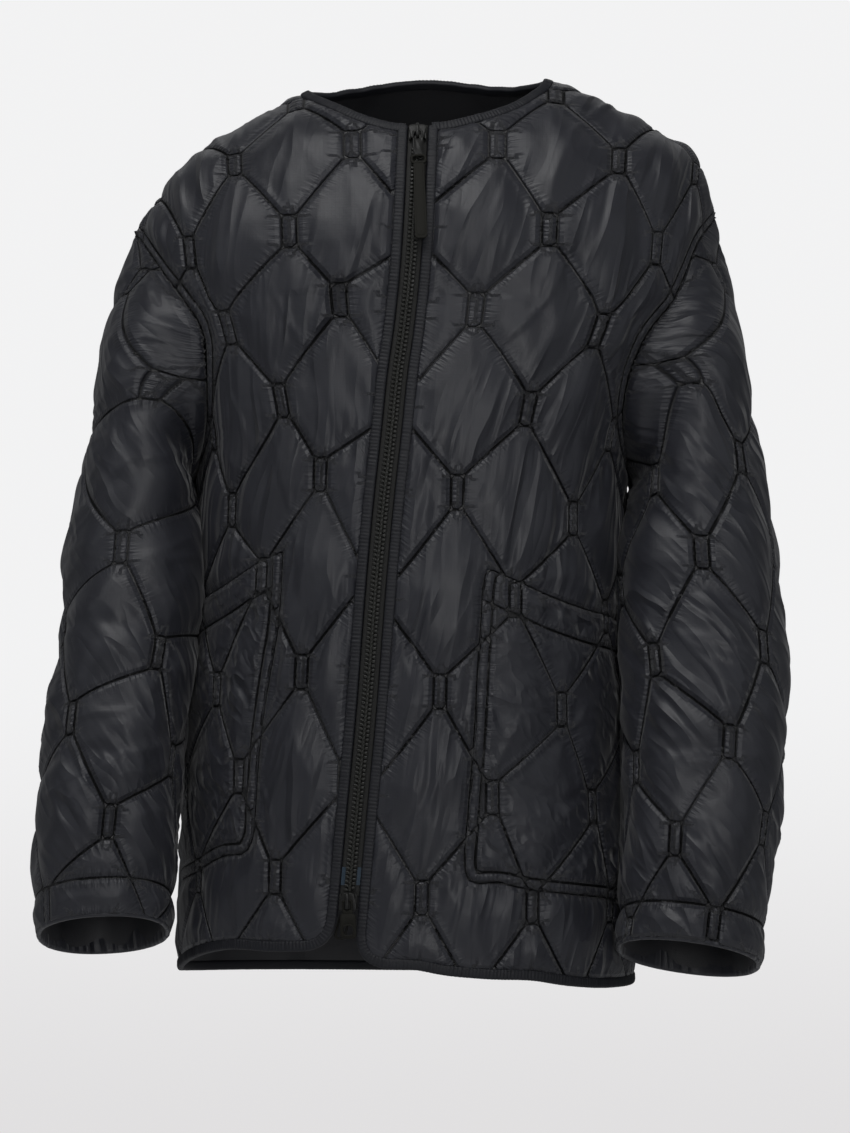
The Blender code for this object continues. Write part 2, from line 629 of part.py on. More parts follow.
def round_box(w0, w1, h0, h1, r, n=4):
    """A rectangle with rounded corners, counter-clockwise."""
    out = []
    for cx, cy, a0 in ((w1 - r, h1 - r, 0), (w0 + r, h1 - r, 90), (w0 + r, h0 + r, 180), (w1 - r, h0 + r, 270)):
        for k in range(n + 1):
            a = math.radians(a0 + 90 * k / n)
            out.append((cx + r * math.cos(a), cy + r * math.sin(a)))
    return out


def merge(keep, other):
    """Unites another solid with this one."""
    modifier = keep.modifiers.new(other.name, "BOOLEAN")
    modifier.operation = "UNION"
    modifier.solver = "EXACT"
    modifier.object = other
    other.hide_render = True
    other.hide_viewport = True


# ---------------------------------------------------------------- materials
def material(name, colour, roughness, metallic=0.0, coat=0.0):
    made = bpy.data.materials.new(name)
    made.use_nodes = True
    node = made.node_tree.nodes["Principled BSDF"]
    node.inputs["Base Color"].default_value = (*colour, 1)
    node.inputs["Roughness"].default_value = roughness
    node.inputs["Metallic"].default_value = metallic
    node.inputs["Coat Weight"].default_value = coat
    made.diffuse_color = (*colour, 1)
    return made


for old in list(bpy.data.objects):
    bpy.data.objects.remove(old)

nylon = material("black_nylon", (0.014, 0.015, 0.019), 0.46)
trim = material("black_binding", (0.016, 0.017, 0.021), 0.55)
tape = material("zip_tape", (0.020, 0.020, 0.018), 0.8)
plastic = material("zip_plastic", (0.022, 0.022, 0.018), 0.42)
metal = material("painted_metal", (0.018, 0.018, 0.018), 0.38, 0.0, 0.3)
rubber = material("pull_rubber", (0.012, 0.012, 0.013), 0.5)

# ---------------------------------------------------------------- charts and shared seams
front, back = torso_chart(True), torso_chart(False)
halves = {"front": front, "back": back}
# the cloth of the torso lies to the left of each armhole line on these pieces, and to the right on the others
hole_side = {("right", "front"): 1, ("left", "front"): -1, ("right", "back"): -1, ("left", "back"): 1}
hole, dense = {}, {}
for key, line in armhole_lines.items():
    chart = halves[key[1]]
    hole[key] = seam_points(chart, line)
    hole[key][0] = (line[0][0], chart.top(line[0][0]))
    dense[key] = chart.at(seam_points(chart, line, 2.0))
sleeves = {side: sleeve_chart(side, dense[side, "front"], dense[side, "back"]) for side in ("right", "left")}


def zip_edge(v, by):
    """A line beside the zip's centre, so many millimetres of cloth to the viewer's right of it."""
    v = np.asarray(v, float)
    u = hermite_table(zip_line, v)[:, 1]
    centre = np.column_stack([u, v])
    return np.column_stack([u + by / front.across(centre), v])


def front_edge(sign, hem, top=-43.2):
    """Outer edge of one front's binding: down the zip, round the corner, then the hem to the side seam."""
    hem_v = hem[0][1]
    low = hem_v + corner_radius
    down = zip_edge(np.linspace(top, low, 40), sign * tape_half)
    start = down[-1]
    corner = np.array([zip_edge([hem_v], sign * tape_half)[0, 0], hem_v])
    end = np.array([start[0] + sign * corner_radius * 0.95, hem_v + 0.4])
    t = np.linspace(0, 1, 9)[:, None]
    arc = start * (1 - t) ** 2 + 2 * corner * t * (1 - t) + end * t ** 2
    rest = [tuple(end)] + [h for h in hem if (h[0] - end[0]) * sign > 8]
    return joined(path(down, step=27.0), path(arc, step=8.0), path(rest, step=27.0))


edges = {"right": front_edge(-1, hem_front_right), "left": front_edge(1, hem_front_left)}
back_edge = path(hem_back, step=27.0)
inset = binding_width + 0.3

neck_v = {"right": -33.0, "left": -32.0}
neck = {
    "right": path([(u, front.top(u)) if v is None else (u, v) for u, v in neck_front[:6]]
                  + [tuple(zip_edge([neck_v["right"]], -tape_half - 0.4)[0])], step=13.0),
    "left": path([tuple(zip_edge([neck_v["left"]], tape_half + 0.4)[0])]
                 + [(u, front.top(u)) if v is None else (u, v) for u, v in neck_front[6:]], step=13.0),
}


def back_neck_line():
    """The back of the neckline: a curve behind the shoulder line that comes up to it at both ends."""
    first, last = -neck_front[0][0], -neck_front[-1][0]
    out = []
    for u in np.linspace(first, last, 15):
        t = (u - first) / (last - first) * 2 - 1
        y = neck_back_depth * (1 - abs(t) ** 2.2) ** 0.6
        k = int(np.argmin(abs(back.u - u)))
        out.append((u, np.interp(-y, -back.points[k, 89:, 1], back.v[k, 89:])))
    out[0], out[-1] = (first, back.top(first)), (last, back.top(last))
    return np.array(out)


back_neck = path(back_neck_line(), step=14.0)
neck_u = {side: abs(neck_front[0 if side == "right" else -1][0]) + 7.4 for side in ("right", "left")}


def shoulder_seam(side, part):
    """Chart points of the shoulder seam from the neck to the armhole."""
    chart = halves[part]
    sign = {("right", "front"): -1, ("left", "front"): 1, ("right", "back"): 1, ("left", "back"): -1}[side, part]
    tip = abs(armhole_lines[side, part][0][0])
    u = sign * np.linspace(neck_u[side], tip, 12)
    return np.column_stack([u, chart.top(u)])


def side_seam(u, low):
    v = np.linspace(-308.0, low, 21)
    return np.column_stack([np.full(21, float(u)), v])


# ---------------------------------------------------------------- front and back panels
side_low = {"right": -727.0 + inset, "left": -733.0 + inset}


def trimmed_neck(side):
    """The cloth's edge under the neck binding, from the shoulder to the front edge."""
    line = shifted(front, neck[side], -inset)
    if side == "left":
        line = line[::-1]
    sign = -1 if side == "right" else 1
    limit = zip_edge([line[-1, 1]], sign * (tape_half + inset))[0, 0]
    line = line[(line[:, 0] - limit) * sign > 5]
    shoulder_u = sign * neck_u[side]
    line = line[((line[:, 0] - shoulder_u) * -sign > 0.3) & (line[:, 1] < front.top(line[:, 0]) - 3)]
    end_v = line[-1, 1] + (limit - line[-1, 0]) * (line[-1, 1] - line[-2, 1]) / (line[-1, 0] - line[-2, 0])
    return np.concatenate([[(shoulder_u, front.top(shoulder_u))], line, [(limit, end_v)]])


def front_loop(side):
    sign = -1 if side == "right" else 1
    neckline = trimmed_neck(side)
    edge = shifted(front, edges[side], sign * inset)
    edge = edge[edge[:, 1] < neckline[-1, 1] - 8]
    edge = edge[abs(edge[:, 0]) < torso_quarter - 6] if len(edge) else edge
    edge = np.concatenate([edge, [(sign * torso_quarter, side_low[side])]])
    seam = side_seam(sign * torso_quarter, side_low[side])[::-1]
    return joined(neckline, edge, seam, hole[side, "front"][::-1], shoulder_seam(side, "front")[::-1])


def back_loop():
    neckline = shifted(back, back_neck, inset)
    first, last = neck_u["right"], -neck_u["left"]
    neckline = neckline[(neckline[:, 0] < first - 0.3) & (neckline[:, 0] > last + 0.3)]
    neckline = neckline[neckline[:, 1] < back.top(neckline[:, 0]) - 3]
    neckline = np.concatenate([[(first, back.top(first))], neckline, [(last, back.top(last))]])
    hem = shifted(back, back_edge, -inset)
    hem = hem[abs(hem[:, 0]) < torso_quarter - 6]
    hem = np.concatenate([[(torso_quarter, side_low["right"])], hem, [(-torso_quarter, side_low["left"])]])
    return joined(neckline, shoulder_seam("left", "back"), hole["left", "back"],
                  side_seam(-torso_quarter, side_low["left"]), hem[::-1],
                  side_seam(torso_quarter, side_low["right"])[::-1], hole["right", "back"][::-1],
                  shoulder_seam("right", "back")[::-1])


def pocket_shape(table):
    """The pocket's closed outline, and its stitched lines: under the mouth, and inside the side and the bottom."""
    mouth = path(table["mouth"], step=18.0)
    side_line = path(table["side"], step=22.0)
    bottom = path(table["bottom"], step=18.0)
    outer = path(table["outer"], step=24.0)
    loop = joined(mouth if abs(mouth[0, 0]) > abs(mouth[-1, 0]) else mouth[::-1], side_line, bottom, outer)
    band = mouth + (0, -pocket_band)
    border_source = joined_open(side_line, bottom)
    sign = 1 if table["outer"][0][0] > 0 else -1
    border = shifted(front, border_source, sign * pocket_border)
    band = band[inside(band, loop)]
    border = border[inside(border, loop)]
    return loop, polyline(band) + polyline(border)


def joined_open(a, b):
    return np.concatenate([a, b[1:]])


pockets = {"right": pocket_shape(pocket_right), "left": pocket_shape(pocket_left)}
quilts = {"right": quilt_front_right, "left": quilt_front_left}
panels = {}
for side in ("right", "left"):
    sign = -1 if side == "right" else 1
    loop = front_loop(side)
    loop = shifted(front, loop, seam_gap * area_sign(loop), closed=True)
    welt = shifted(front, hole[side, "front"], hole_side[side, "front"] * welt_width)[1:-1]
    welt = welt[inside(welt, loop)]
    pocket_loop, pocket_lines = pockets[side]
    closed = [(pocket_loop[k], pocket_loop[(k + 1) % len(pocket_loop)]) for k in range(len(pocket_loop))]
    panels["front_" + side] = Panel(front, loop, quilt_lines(quilts[side], loop, 9),
                                    polyline(welt) + pocket_lines + closed)
loop = back_loop()
loop = shifted(back, loop, seam_gap * area_sign(loop), closed=True)
welts = []
for side in ("right", "left"):
    welt = shifted(back, hole[side, "back"], hole_side[side, "back"] * welt_width)[1:-1]
    welts += polyline(welt[inside(welt, loop)])
panels["back"] = Panel(back, loop, quilt_lines(quilt_back, loop, 9), welts)


# ---------------------------------------------------------------- sleeves
def seam_to_sleeve(side, part):
    """Sleeve chart points of the armhole seam's own points."""
    chart = halves[part]
    p = chart.at(hole[side, part])
    fine = dense[side, part]
    along = lengths(fine)
    nearest = np.array([along[np.argmin(np.linalg.norm(fine - q, axis=1))] for q in p]) / along[-1]
    sign = {("right", "front"): 1, ("right", "back"): -1, ("left", "front"): -1, ("left", "back"): 1}[side, part]
    u = sign * nearest * 2 * sleeve_quarter
    return np.column_stack([u, sleeves[side].top(u)]), p


for side in ("right", "left"):
    sign = -1 if side == "right" else 1
    pairs = [(shoulder_seam(side, "front"), shoulder_seam(side, "back")),
             (side_seam(sign * torso_quarter, side_low[side]), side_seam(-sign * torso_quarter, side_low[side]))]
    for q_front, q_back in pairs:
        shared = unit(front.normal(q_front) + back.normal(q_back))
        panels["front_" + side].seams = getattr(panels["front_" + side], "seams", []) + [(q_front, shared)]
        panels["back"].seams = getattr(panels["back"], "seams", []) + [(q_back, shared)]

for side in ("right", "left"):
    chart = sleeves[side]
    top, seam_data = {}, {}
    ends = []
    for part in ("front", "back"):
        q_s = seam_to_sleeve(side, part)[0]
        ends.append((halves[part].normal(hole[side, part]) + chart.normal(q_s))[[0, -1]])
    ends = unit(ends[0] + ends[1])
    for part in ("front", "back"):
        q_s, p = seam_to_sleeve(side, part)
        q_t = hole[side, part]
        torso = halves[part]
        into = shifted(torso, q_t, hole_side[side, part] * 3.0)
        w_t = unit(torso.at(into) - p)
        q_in = q_s - (0, 4.0)
        w_s = unit(chart.at(q_in) - chart.at(q_s))
        n = unit(torso.normal(q_t) + chart.normal(q_s))
        n[0], n[-1] = ends
        m = w_t - w_s
        m = unit(m - n * (m * n).sum(1)[:, None])
        top[part] = q_s
        seam_data[part] = (q_s, p - m * 0.3, n)
        key = "back" if part == "back" else "front_" + side
        panels[key].seams = getattr(panels[key], "seams", []) + [(q_t, n)]
    limit = 2 * sleeve_quarter
    hem = np.column_stack([np.linspace(-limit, limit, 23), np.zeros(23)])
    first, last = ("back", "front") if side == "right" else ("front", "back")
    left_up = np.column_stack([np.full(20, -limit), np.linspace(0, chart.top(-limit), 20)])
    right_up = np.column_stack([np.full(20, limit), np.linspace(0, chart.top(limit), 20)])
    loop = joined(hem, right_up, top[last][::-1], top[first], left_up[::-1])
    turn = area_sign(loop)
    raw = loop
    loop = shifted(chart, loop, seam_gap * turn, closed=True)
    band = np.column_stack([np.linspace(-limit + 4, limit - 4, 23), np.full(23, cuff_hem)])
    sleeve = Panel(chart, loop, quilt_lines(quilt_sleeve[side], loop, 6, across=1.0), polyline(band))
    for part in ("front", "back"):
        q_s, p, n = seam_data[part]
        where = np.array([loop[np.argmin(np.linalg.norm(raw - q, axis=1))] for q in q_s])
        step = chart.at(where) - chart.at(np.column_stack([q_s[:, 0], where[:, 1]]))
        sleeve.set_seam(where, p + step, n)
    panels["sleeve_" + side] = sleeve

for name in ("front_right", "front_left", "back"):
    panel = panels[name]
    for q_t, n in panel.seams:
        for q, one in zip(q_t, n):
            k = np.argmin(np.linalg.norm(panel.q - q, axis=1))
            j = np.argmin(np.linalg.norm(panel.inner_q - q, axis=1))
            if np.linalg.norm(panel.q[k] - q) < 0.8:
                panel.normal[k] = one
            if np.linalg.norm(panel.inner_q[j] - q) < 0.8:
                panel.inner_normal[j] = one

# room between the sleeves and the torso: neither side's quilting may fill more than its share
cloud = {side: sleeves[side].points[:, ::2].reshape(-1, 3) for side in ("right", "left")}
torso_cloud = np.concatenate([front.points[::2, ::2].reshape(-1, 3), back.points[::2, ::2].reshape(-1, 3)])


def nearest(points, others):
    out = np.empty(len(points))
    for k in range(0, len(points), 400):
        d = points[k:k + 400, None] - others[None]
        out[k:k + 400] = np.sqrt((d ** 2).sum(-1).min(1))
    return out


room = {}
for name in ("front_right", "front_left", "back"):
    panel = panels[name]
    near = np.minimum(nearest(panel.base, cloud["right"]), nearest(panel.base, cloud["left"]))
    room[name] = near
    panel.rise = np.minimum(panel.rise, 0.40 * near)
torso_seen = torso_cloud
pocket_tops = []
for side in ("right", "left"):
    panel = panels["front_" + side]
    under = inside(panel.q, pockets[side][0])
    panel.rise[under] *= 0.35
    room_under = 0.5 * room["front_" + side] - panel.rise - lie - pocket_wall
    pocket_tops.append(overlay(panel, "pocket_" + side, pockets[side][0], nylon, pocket_wall, 4.6,
                               np.maximum(room_under, 0.0)))

for side in ("right", "left"):
    panel = panels["sleeve_" + side]
    panel.rise = np.minimum(panel.rise, 0.34 * nearest(panel.base, torso_seen))
    over_pocket = nearest(panel.base, np.concatenate(pocket_tops)) - 2.0
    panel.rise = np.minimum(panel.rise, np.maximum(over_pocket, 0.0))

for name, panel in panels.items():
    panel.build(name, nylon)

# ---------------------------------------------------------------- bindings
b, r = binding_width / 2, binding_rise
binding_profile = [(-b, -wall), (-b + 1.6, -wall - r), (b - 1.6, -wall - r), (b, -wall), (b, -0.2), (b - 1.8, r),
                   (-b + 1.8, r), (-b, -0.2)]


def lifted(chart, q):
    return chart.at(q), chart.normal(q)


right_mid = shifted(front, edges["right"], -b)
back_mid = shifted(back, back_edge, -b)
left_mid = shifted(front, edges["left"], b)
pieces = [lifted(front, right_mid), lifted(back, back_mid[1:-1]), lifted(front, left_mid[::-1])]
sweep("edge_binding", np.concatenate([p[0] for p in pieces]), np.concatenate([p[1] for p in pieces]),
      binding_profile, trim)

right_mid = shifted(front, neck["right"], -b)[::-1]
back_mid = shifted(back, back_neck, b)
left_mid = shifted(front, neck["left"], -b)[::-1]
pieces = [lifted(front, right_mid[:-1]), lifted(back, back_mid), lifted(front, left_mid[1:])]
sweep("neck_binding", np.concatenate([p[0] for p in pieces]), np.concatenate([p[1] for p in pieces]),
      binding_profile, trim)

# ---------------------------------------------------------------- zip
zip_top, zip_end = -34.0, -652.0
run = np.linspace(zip_top, zip_end, 34)
half = (tape_half - 0.7) / 2
for side, sign in (("right", -1), ("left", 1)):
    q = zip_edge(run, sign * (0.35 + half))
    sweep("zip_tape_" + side, front.at(q), front.normal(q), [(-half, -1.7), (half, -1.7), (half, -0.5), (-half, -0.5)],
          tape)
q = zip_edge(run[1:-1], 0.0)
t = teeth_half
sweep("zip_teeth", front.at(q), front.normal(q),
      [(-t, 0.0), (t, 0.0), (t, 1.3), (t * 0.55, 2.3), (0, 1.9), (-t * 0.55, 2.3), (-t, 1.3)], plastic)


def slider(name, v, turn):
    """The slider: a channel over the teeth with a bail on top that holds the pull's bar."""
    place = Place(front, zip_edge([v], 0.0)[0], turn)
    w = 7.4
    section = [(-w, 0.1), (-5.0, 0.1), (-5.0, 2.9), (5.0, 2.9), (5.0, 0.1), (w, 0.1), (w, 3.6), (w - 1.4, 5.2),
               (1.4 - w, 5.2), (-w, 3.6)]
    rows = [(-7.0, 0.82, 4.1), (-4.5, 1.0, 5.0), (1.5, 1.0, 5.2), (5.0, 0.9, 5.0), (7.0, 0.76, 4.1)]
    verts, m = [], len(section)
    for y, k, top in rows:
        for x, z in section:
            x = math.copysign(max(abs(x) * k, 4.9 if abs(x) <= 5.0 else 5.6), x)
            verts.append((x, y, min(z, top)))
    faces = []
    for row in range(len(rows) - 1):
        for j in range(m):
            i = (j + 1) % m
            faces.append((row * m + j, row * m + i, (row + 1) * m + i, (row + 1) * m + j))
    faces += [tuple(range(m))[::-1], tuple(range((len(rows) - 1) * m, len(rows) * m))]
    faces = [f[::-1] for f in faces]
    body = add_mesh(name, place.put(verts), faces, metal, smooth=False)
    arch = [(-3.9, 4.4), (-2.4, 4.4), (-2.4, 8.0), (-1.9, 8.5), (3.4, 8.5), (3.9, 8.0), (3.9, 4.4), (5.4, 4.4), (5.4, 8.6),
            (4.2, 9.8), (-2.7, 9.8), (-3.9, 8.6)]
    m = len(arch)
    verts = [(-1.7, y, z) for y, z in arch] + [(1.7, y, z) for y, z in arch]
    faces = [tuple(range(m))[::-1], tuple(range(m, 2 * m))]
    faces += [(j, (j + 1) % m, m + (j + 1) % m, m + j) for j in range(m)]
    bail = add_mesh(name + "_bail", place.put(verts), faces, metal, smooth=False)
    merge(body, bail)
    return place


# the pull's bar lies under the bail, this far along and above the slider
bar_y, bar_z = -1.0, 7.0
top_place = slider("top_slider", -44.5, 0.0)
bottom_place = slider("bottom_slider", -656.0, math.pi)


def link(name, place, outline, holes, spin, lean, thickness=1.5):
    """A flat pull on the bar, turned in its own plane, and leaning toward the cloth by so many radians."""
    ca, sa = math.cos(spin), math.sin(spin)
    hung = Place.__new__(Place)
    down = math.cos(spin)
    hung.right = place.right
    hung.up = place.up * math.cos(lean) + place.out * math.sin(lean) * (1 if down > 0 else -1)
    hung.out = np.cross(hung.right, hung.up)
    hung.origin = place.put([(0, bar_y, bar_z)])[0]

    def turned(points):
        return [(x * ca - y * sa, x * sa + y * ca) for x, y in points]
    return plate(name, hung, turned(outline), [turned(h) for h in holes], -thickness / 2, thickness / 2, rubber)


tab = [(-3.4, 0.75), (3.4, 0.75), (4.2, -0.6), (4.3, -19.0), (6.6, -22.0), (6.6, -26.6), (4.6, -29.2), (4.4, -33.0),
       (5.0, -70.0), (4.9, -91.0), (4.1, -93.5), (2.6, -94.5), (-2.6, -94.5), (-4.1, -93.5), (-4.9, -91.0), (-5.0, -70.0),
       (-4.4, -33.0), (-4.6, -29.2), (-6.6, -26.6), (-6.6, -22.0), (-4.3, -19.0), (-4.2, -0.6)]
eye = round_box(-2.7, 2.7, -6.9, -0.75, 0.8, 2)
ring_hole = round_box(-4.4, 4.4, -27.0, -22.8, 1.8, 3)
link("top_pull", top_place, tab[::-1], [eye, ring_hole], math.radians(1.5), math.radians(10.0))
short = [(-3.4, 0.75), (3.4, 0.75), (4.0, -0.6), (4.0, -8.0), (5.6, -11.0), (6.4, -17.0), (6.4, -27.0), (5.2, -29.5),
         (-5.2, -29.5), (-6.4, -27.0), (-6.4, -17.0), (-5.6, -11.0), (-4.0, -8.0), (-4.0, -0.6)]
eyelet = round_box(-3.6, 3.6, -26.5, -19.5, 2.6, 4)
link("bottom_pull", bottom_place, short[::-1], [eye, eyelet], math.pi + math.radians(4), 0.0)
rear = Place(front, zip_edge([-656.0], 0.0)[0], 0.0)
loop_outer = round_box(-4.6, 4.6, -31.0, -10.5, 3.6, 3)
loop_hole = round_box(-2.9, 2.9, -29.2, -14.0, 2.2, 3)
ca, sa = math.cos(math.radians(-14)), math.sin(math.radians(-14))
turn_back = [[(x * ca - y * sa, x * sa + y * ca) for x, y in ring] for ring in (loop_outer, loop_hole)]
plate("bottom_pull_inside", rear, turn_back[0], [turn_back[1]], -4.6, -3.2, rubber)
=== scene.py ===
# Quilted zip jacket in its worn form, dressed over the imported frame.
# Lengths are millimetres until a mesh is made. x runs to the viewer's right, y away from the viewer, z up.
# Each cloth piece is flat on a chart (u across, v up) that a torso or sleeve form carries into its worn place.
import math

import bmesh
import bpy
import numpy as np
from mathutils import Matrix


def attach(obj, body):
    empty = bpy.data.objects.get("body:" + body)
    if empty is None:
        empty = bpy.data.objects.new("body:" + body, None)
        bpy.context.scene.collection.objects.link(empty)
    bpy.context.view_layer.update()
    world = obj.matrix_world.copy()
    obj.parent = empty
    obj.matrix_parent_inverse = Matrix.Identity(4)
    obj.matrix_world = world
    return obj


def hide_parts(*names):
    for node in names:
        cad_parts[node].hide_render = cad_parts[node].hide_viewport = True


print("loading the frame")
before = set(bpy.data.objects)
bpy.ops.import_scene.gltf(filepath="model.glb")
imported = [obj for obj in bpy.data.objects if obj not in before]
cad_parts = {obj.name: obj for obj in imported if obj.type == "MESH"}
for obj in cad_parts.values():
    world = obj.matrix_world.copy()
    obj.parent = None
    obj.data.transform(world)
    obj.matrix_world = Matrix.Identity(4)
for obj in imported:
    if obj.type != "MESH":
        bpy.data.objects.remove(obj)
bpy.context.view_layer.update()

form = {
    "wall": 2.6,              # quilted cloth at a stitch line
    "puff": 6.4,              # rise of a full quilt cell
    "puffReach": 34.0,        # distance from a stitch line at which a cell is full height
    "barWidth": 10.0,
    "barHeight": 27.0,
    "welt": 8.0,              # topstitched strip beside the armhole
    "cuffHem": 29.0,
    "cornerRadius": 30.0,     # lower front corners
    "quarter": 280.0,         # chart units from the front's centre to a side seam
    "sleeveQuarter": 108.0,
}

# ---- the worn torso: z, xCentre, halfRight, halfLeft, depthFront, depthBack, sideY
chestHeight = -180.0
torsoRows = np.array([
    (-765.0, -15.0, 187.0, 186.0, 174.0, 144.0, 20.0),
    (-735.0, -15.0, 187.0, 186.0, 173.0, 143.0, 20.0),
    (-700.0, -15.0, 186.0, 184.0, 173.0, 142.0, 20.0),
    (-640.0, -14.0, 184.0, 183.0, 172.0, 140.0, 20.0),
    (-560.0, -12.0, 184.0, 177.0, 170.0, 137.0, 24.0),
    (-480.0, -9.0, 183.5, 171.5, 168.0, 136.0, 29.0),
    (-400.0, -7.0, 181.0, 169.5, 165.0, 137.0, 32.0),
    (-330.0, -6.0, 180.0, 169.5, 160.0, 139.0, 30.0),
    (-285.0, -5.0, 181.0, 174.0, 155.0, 140.0, 19.0),
    (-240.0, -3.0, 197.0, 192.0, 149.0, 139.0, 11.0),
    (-210.0, -1.0, 209.0, 208.0, 145.0, 137.0, 8.0),
    (-180.0, 0.0, 222.0, 222.0, 140.0, 134.0, 6.0),
])
shoulderLine = np.array([     # x, z
    (-242.0, -132.0), (-236.0, -120.0), (-215.0, -91.0), (-184.0, -56.5), (-148.0, -36.5), (-98.0, -7.0),
    (-60.0, 8.0), (0.0, 18.0), (60.0, 12.0), (109.0, 0.5), (151.0, -19.5), (197.0, -43.0), (225.0, -67.0),
    (236.0, -102.0), (242.0, -122.0),
])
backNeckLift, backNeckReach, capGrowth = 18.0, 95.0, 16.0

# ---- lines on the torso chart: (u, v), None at the shoulder line
zipLine = np.array([          # v, u
    (-760.0, -47.0), (-682.0, -44.0), (-640.0, -41.5), (-544.0, -35.5), (-389.0, -28.5), (-262.0, -18.0),
    (-152.0, -8.5), (-36.0, -4.0), (60.0, -1.0),
])
neckFront = [(-69, None), (-66, 24), (-59, 8), (-49, -7), (-35, -22), (-12, -33), (9, -31.5), (29, -23), (50, -8),
             (65, 17), (72, None)]
neckBackDepth = 62.0
hemLines = {
    "right": [(-83, -696), (-102, -696.7), (-139, -697), (-163, -701), (-196, -709), (-240, -720), (-280, -727)],
    "left": [(6, -709), (25, -713), (60, -717), (100, -720), (114, -723), (152, -728.5), (200, -732), (280, -735)],
    "back": [(280, -727), (200, -732), (100, -736), (0, -738), (-100, -738), (-200, -737), (-280, -735)],
}
armholes = {
    ("right", "front"): [(-272, None), (-246, -121), (-222, -137), (-196, -160), (-174, -181), (-164, -203),
                         (-172, -235), (-190, -265), (-215, -289), (-246, -304), (-280, -308)],
    ("right", "back"): [(272, None), (244, -126), (215, -144), (190, -168), (176, -196), (174, -228),
                        (186, -262), (210, -289), (244, -303), (280, -308)],
    ("left", "front"): [(270, None), (244, -117), (219, -131), (199, -158), (182, -184), (168, -208),
                        (172, -238), (188, -268), (213, -290), (246, -304), (280, -308)],
    ("left", "back"): [(-270, None), (-244, -122), (-216, -142), (-192, -168), (-178, -196), (-175, -228),
                       (-186, -262), (-210, -289), (-244, -303), (-280, -308)],
}
pocketLines = {
    "right": {"mouth": [(-262, -436), (-236, -430), (-202, -421), (-160, -408), (-124, -391), (-104, -383)],
              "side": [(-104, -383), (-106, -446), (-111, -482), (-115, -514), (-119, -578), (-120, -606)],
              "bottom": [(-120, -606), (-126, -618), (-149, -623), (-191, -638), (-262, -652)],
              "outer": [(-262, -652), (-262, -436)]},
    "left": {"mouth": [(262, -449), (186, -434), (148, -428), (109, -417), (82, -406), (57, -396)],
             "side": [(57, -396), (55, -404), (53, -433), (51, -473), (49, -529), (42, -627)],
             "bottom": [(42, -627), (46, -639), (67, -641), (88, -646), (127, -652), (180, -659), (262, -670)],
             "outer": [(262, -670), (262, -449)]},
}
pocketBand, pocketBorder = 26.0, 8.0

# ---- quilting: bar i of a row lies at (u + i * step, v - sag * |i| + tilt * i); each row gives v, u, step, sag, tilt
quilts = {
    "frontRight": {-2: (78, -36, 37, 0), -1: (14, -40, 37, 2), 0: (-52, -43, 37.5, 4), 1: (-121, -44, 39, 7),
                   2: (-184, -53, 42, 10), 3: (-251, -60, 43.5, 12), 4: (-322, -74, 42, 13.5),
                   5: (-391, -80, 41.5, 10), 6: (-477, -84, 41, 7.5), 7: (-556, -91, 44, 4), 8: (-638, -100, 44, 2),
                   9: (-716, -104, 44, 2)},
    "frontLeft": {-2: (78, 38, 38, 0), -1: (14, 40, 38, 2), 0: (-53, 43, 39, 4.5), 1: (-121, 35, 41, 6),
                  2: (-192, 32, 44, 7.5), 3: (-261, 36, 48, 9), 4: (-336, 32, 52, 10), 5: (-413, 29, 51, 7),
                  6: (-492, 21, 51, 7.5), 7: (-570, 17, 46, 5), 8: (-653, 11, 42, 4), 9: (-730, 8, 42, 4)},
    "back": {r: (62 - 78 * r, 0, 44, 0) for r in range(-1, 12)},
    "sleeveRight": {0: (580, 114, 76, 0, -31), 1: (505, 112, 76, 0, -31), 2: (428, 110, 84, 0, -18),
                    3: (378, 104, 86, 0, -17.5), 4: (294, 100, 72, 0, -17), 5: (226, 85, 54, 0, -17),
                    6: (160, 70, 54, 0, -16), 7: (89, 60, 55, 0, -16), 8: (14, 52, 55, 0, -15)},
    "sleeveLeft": {0: (622, -104, 78, 0, 22), 1: (540, -104, 78, 0, 24), 2: (462, -106, 60, 0, 12),
                   3: (385, -106, 38, 0, 12), 4: (310, -107, 41, 0, 12), 5: (232, -105, 44, 0, 11),
                   6: (159, -93, 42, 0, 11), 7: (89, -90, 41, 0, 11), 8: (16, -92, 42, 0, 6)},
}

# ---- the worn sleeves: xOuter, zOuter, xInner, zInner, yMiddle, halfDepth, frontRise
sleeveStations = {
    "right": [
        (-251, -182, -191, -327, 2, 97, 4), (-263, -255, -184, -352, -6, 94, 2),
        (-281, -341, -181, -380, -20, 90, 0), (-290, -425, -182.5, -436, -40, 86, 2),
        (-297, -500, -192.5, -502, -60, 80, 4), (-306, -580, -198.5, -578, -79, 73, 8),
        (-310, -650, -203.5, -648, -94, 64, 14), (-309, -690, -204, -684, -99, 62, 20)],
    "left": [
        (250, -182, 172, -327, 2, 97, 4), (261, -255, 168, -352, -8, 95, 2),
        (277, -341, 157.0, -380, -24, 92, 0), (285, -425, 156.5, -436, -46, 87, 2),
        (288, -500, 160.5, -502, -67, 83, 4), (281, -580, 160.5, -578, -88, 77, 8),
        (269, -668, 158, -655, -107, 68, 14), (266, -712, 152, -696, -113, 65, 18)],
}
# rings and columns of the charts, and the powers of their superellipses
chartSizes = {"columns": 121, "lowRings": 90, "capRings": 40, "sleeveRings": 70, "torsoPower": 2.4, "sleevePower": 2.2}
gridStep = ((2.45, 2.6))     # chart units between the points of a cloth grid


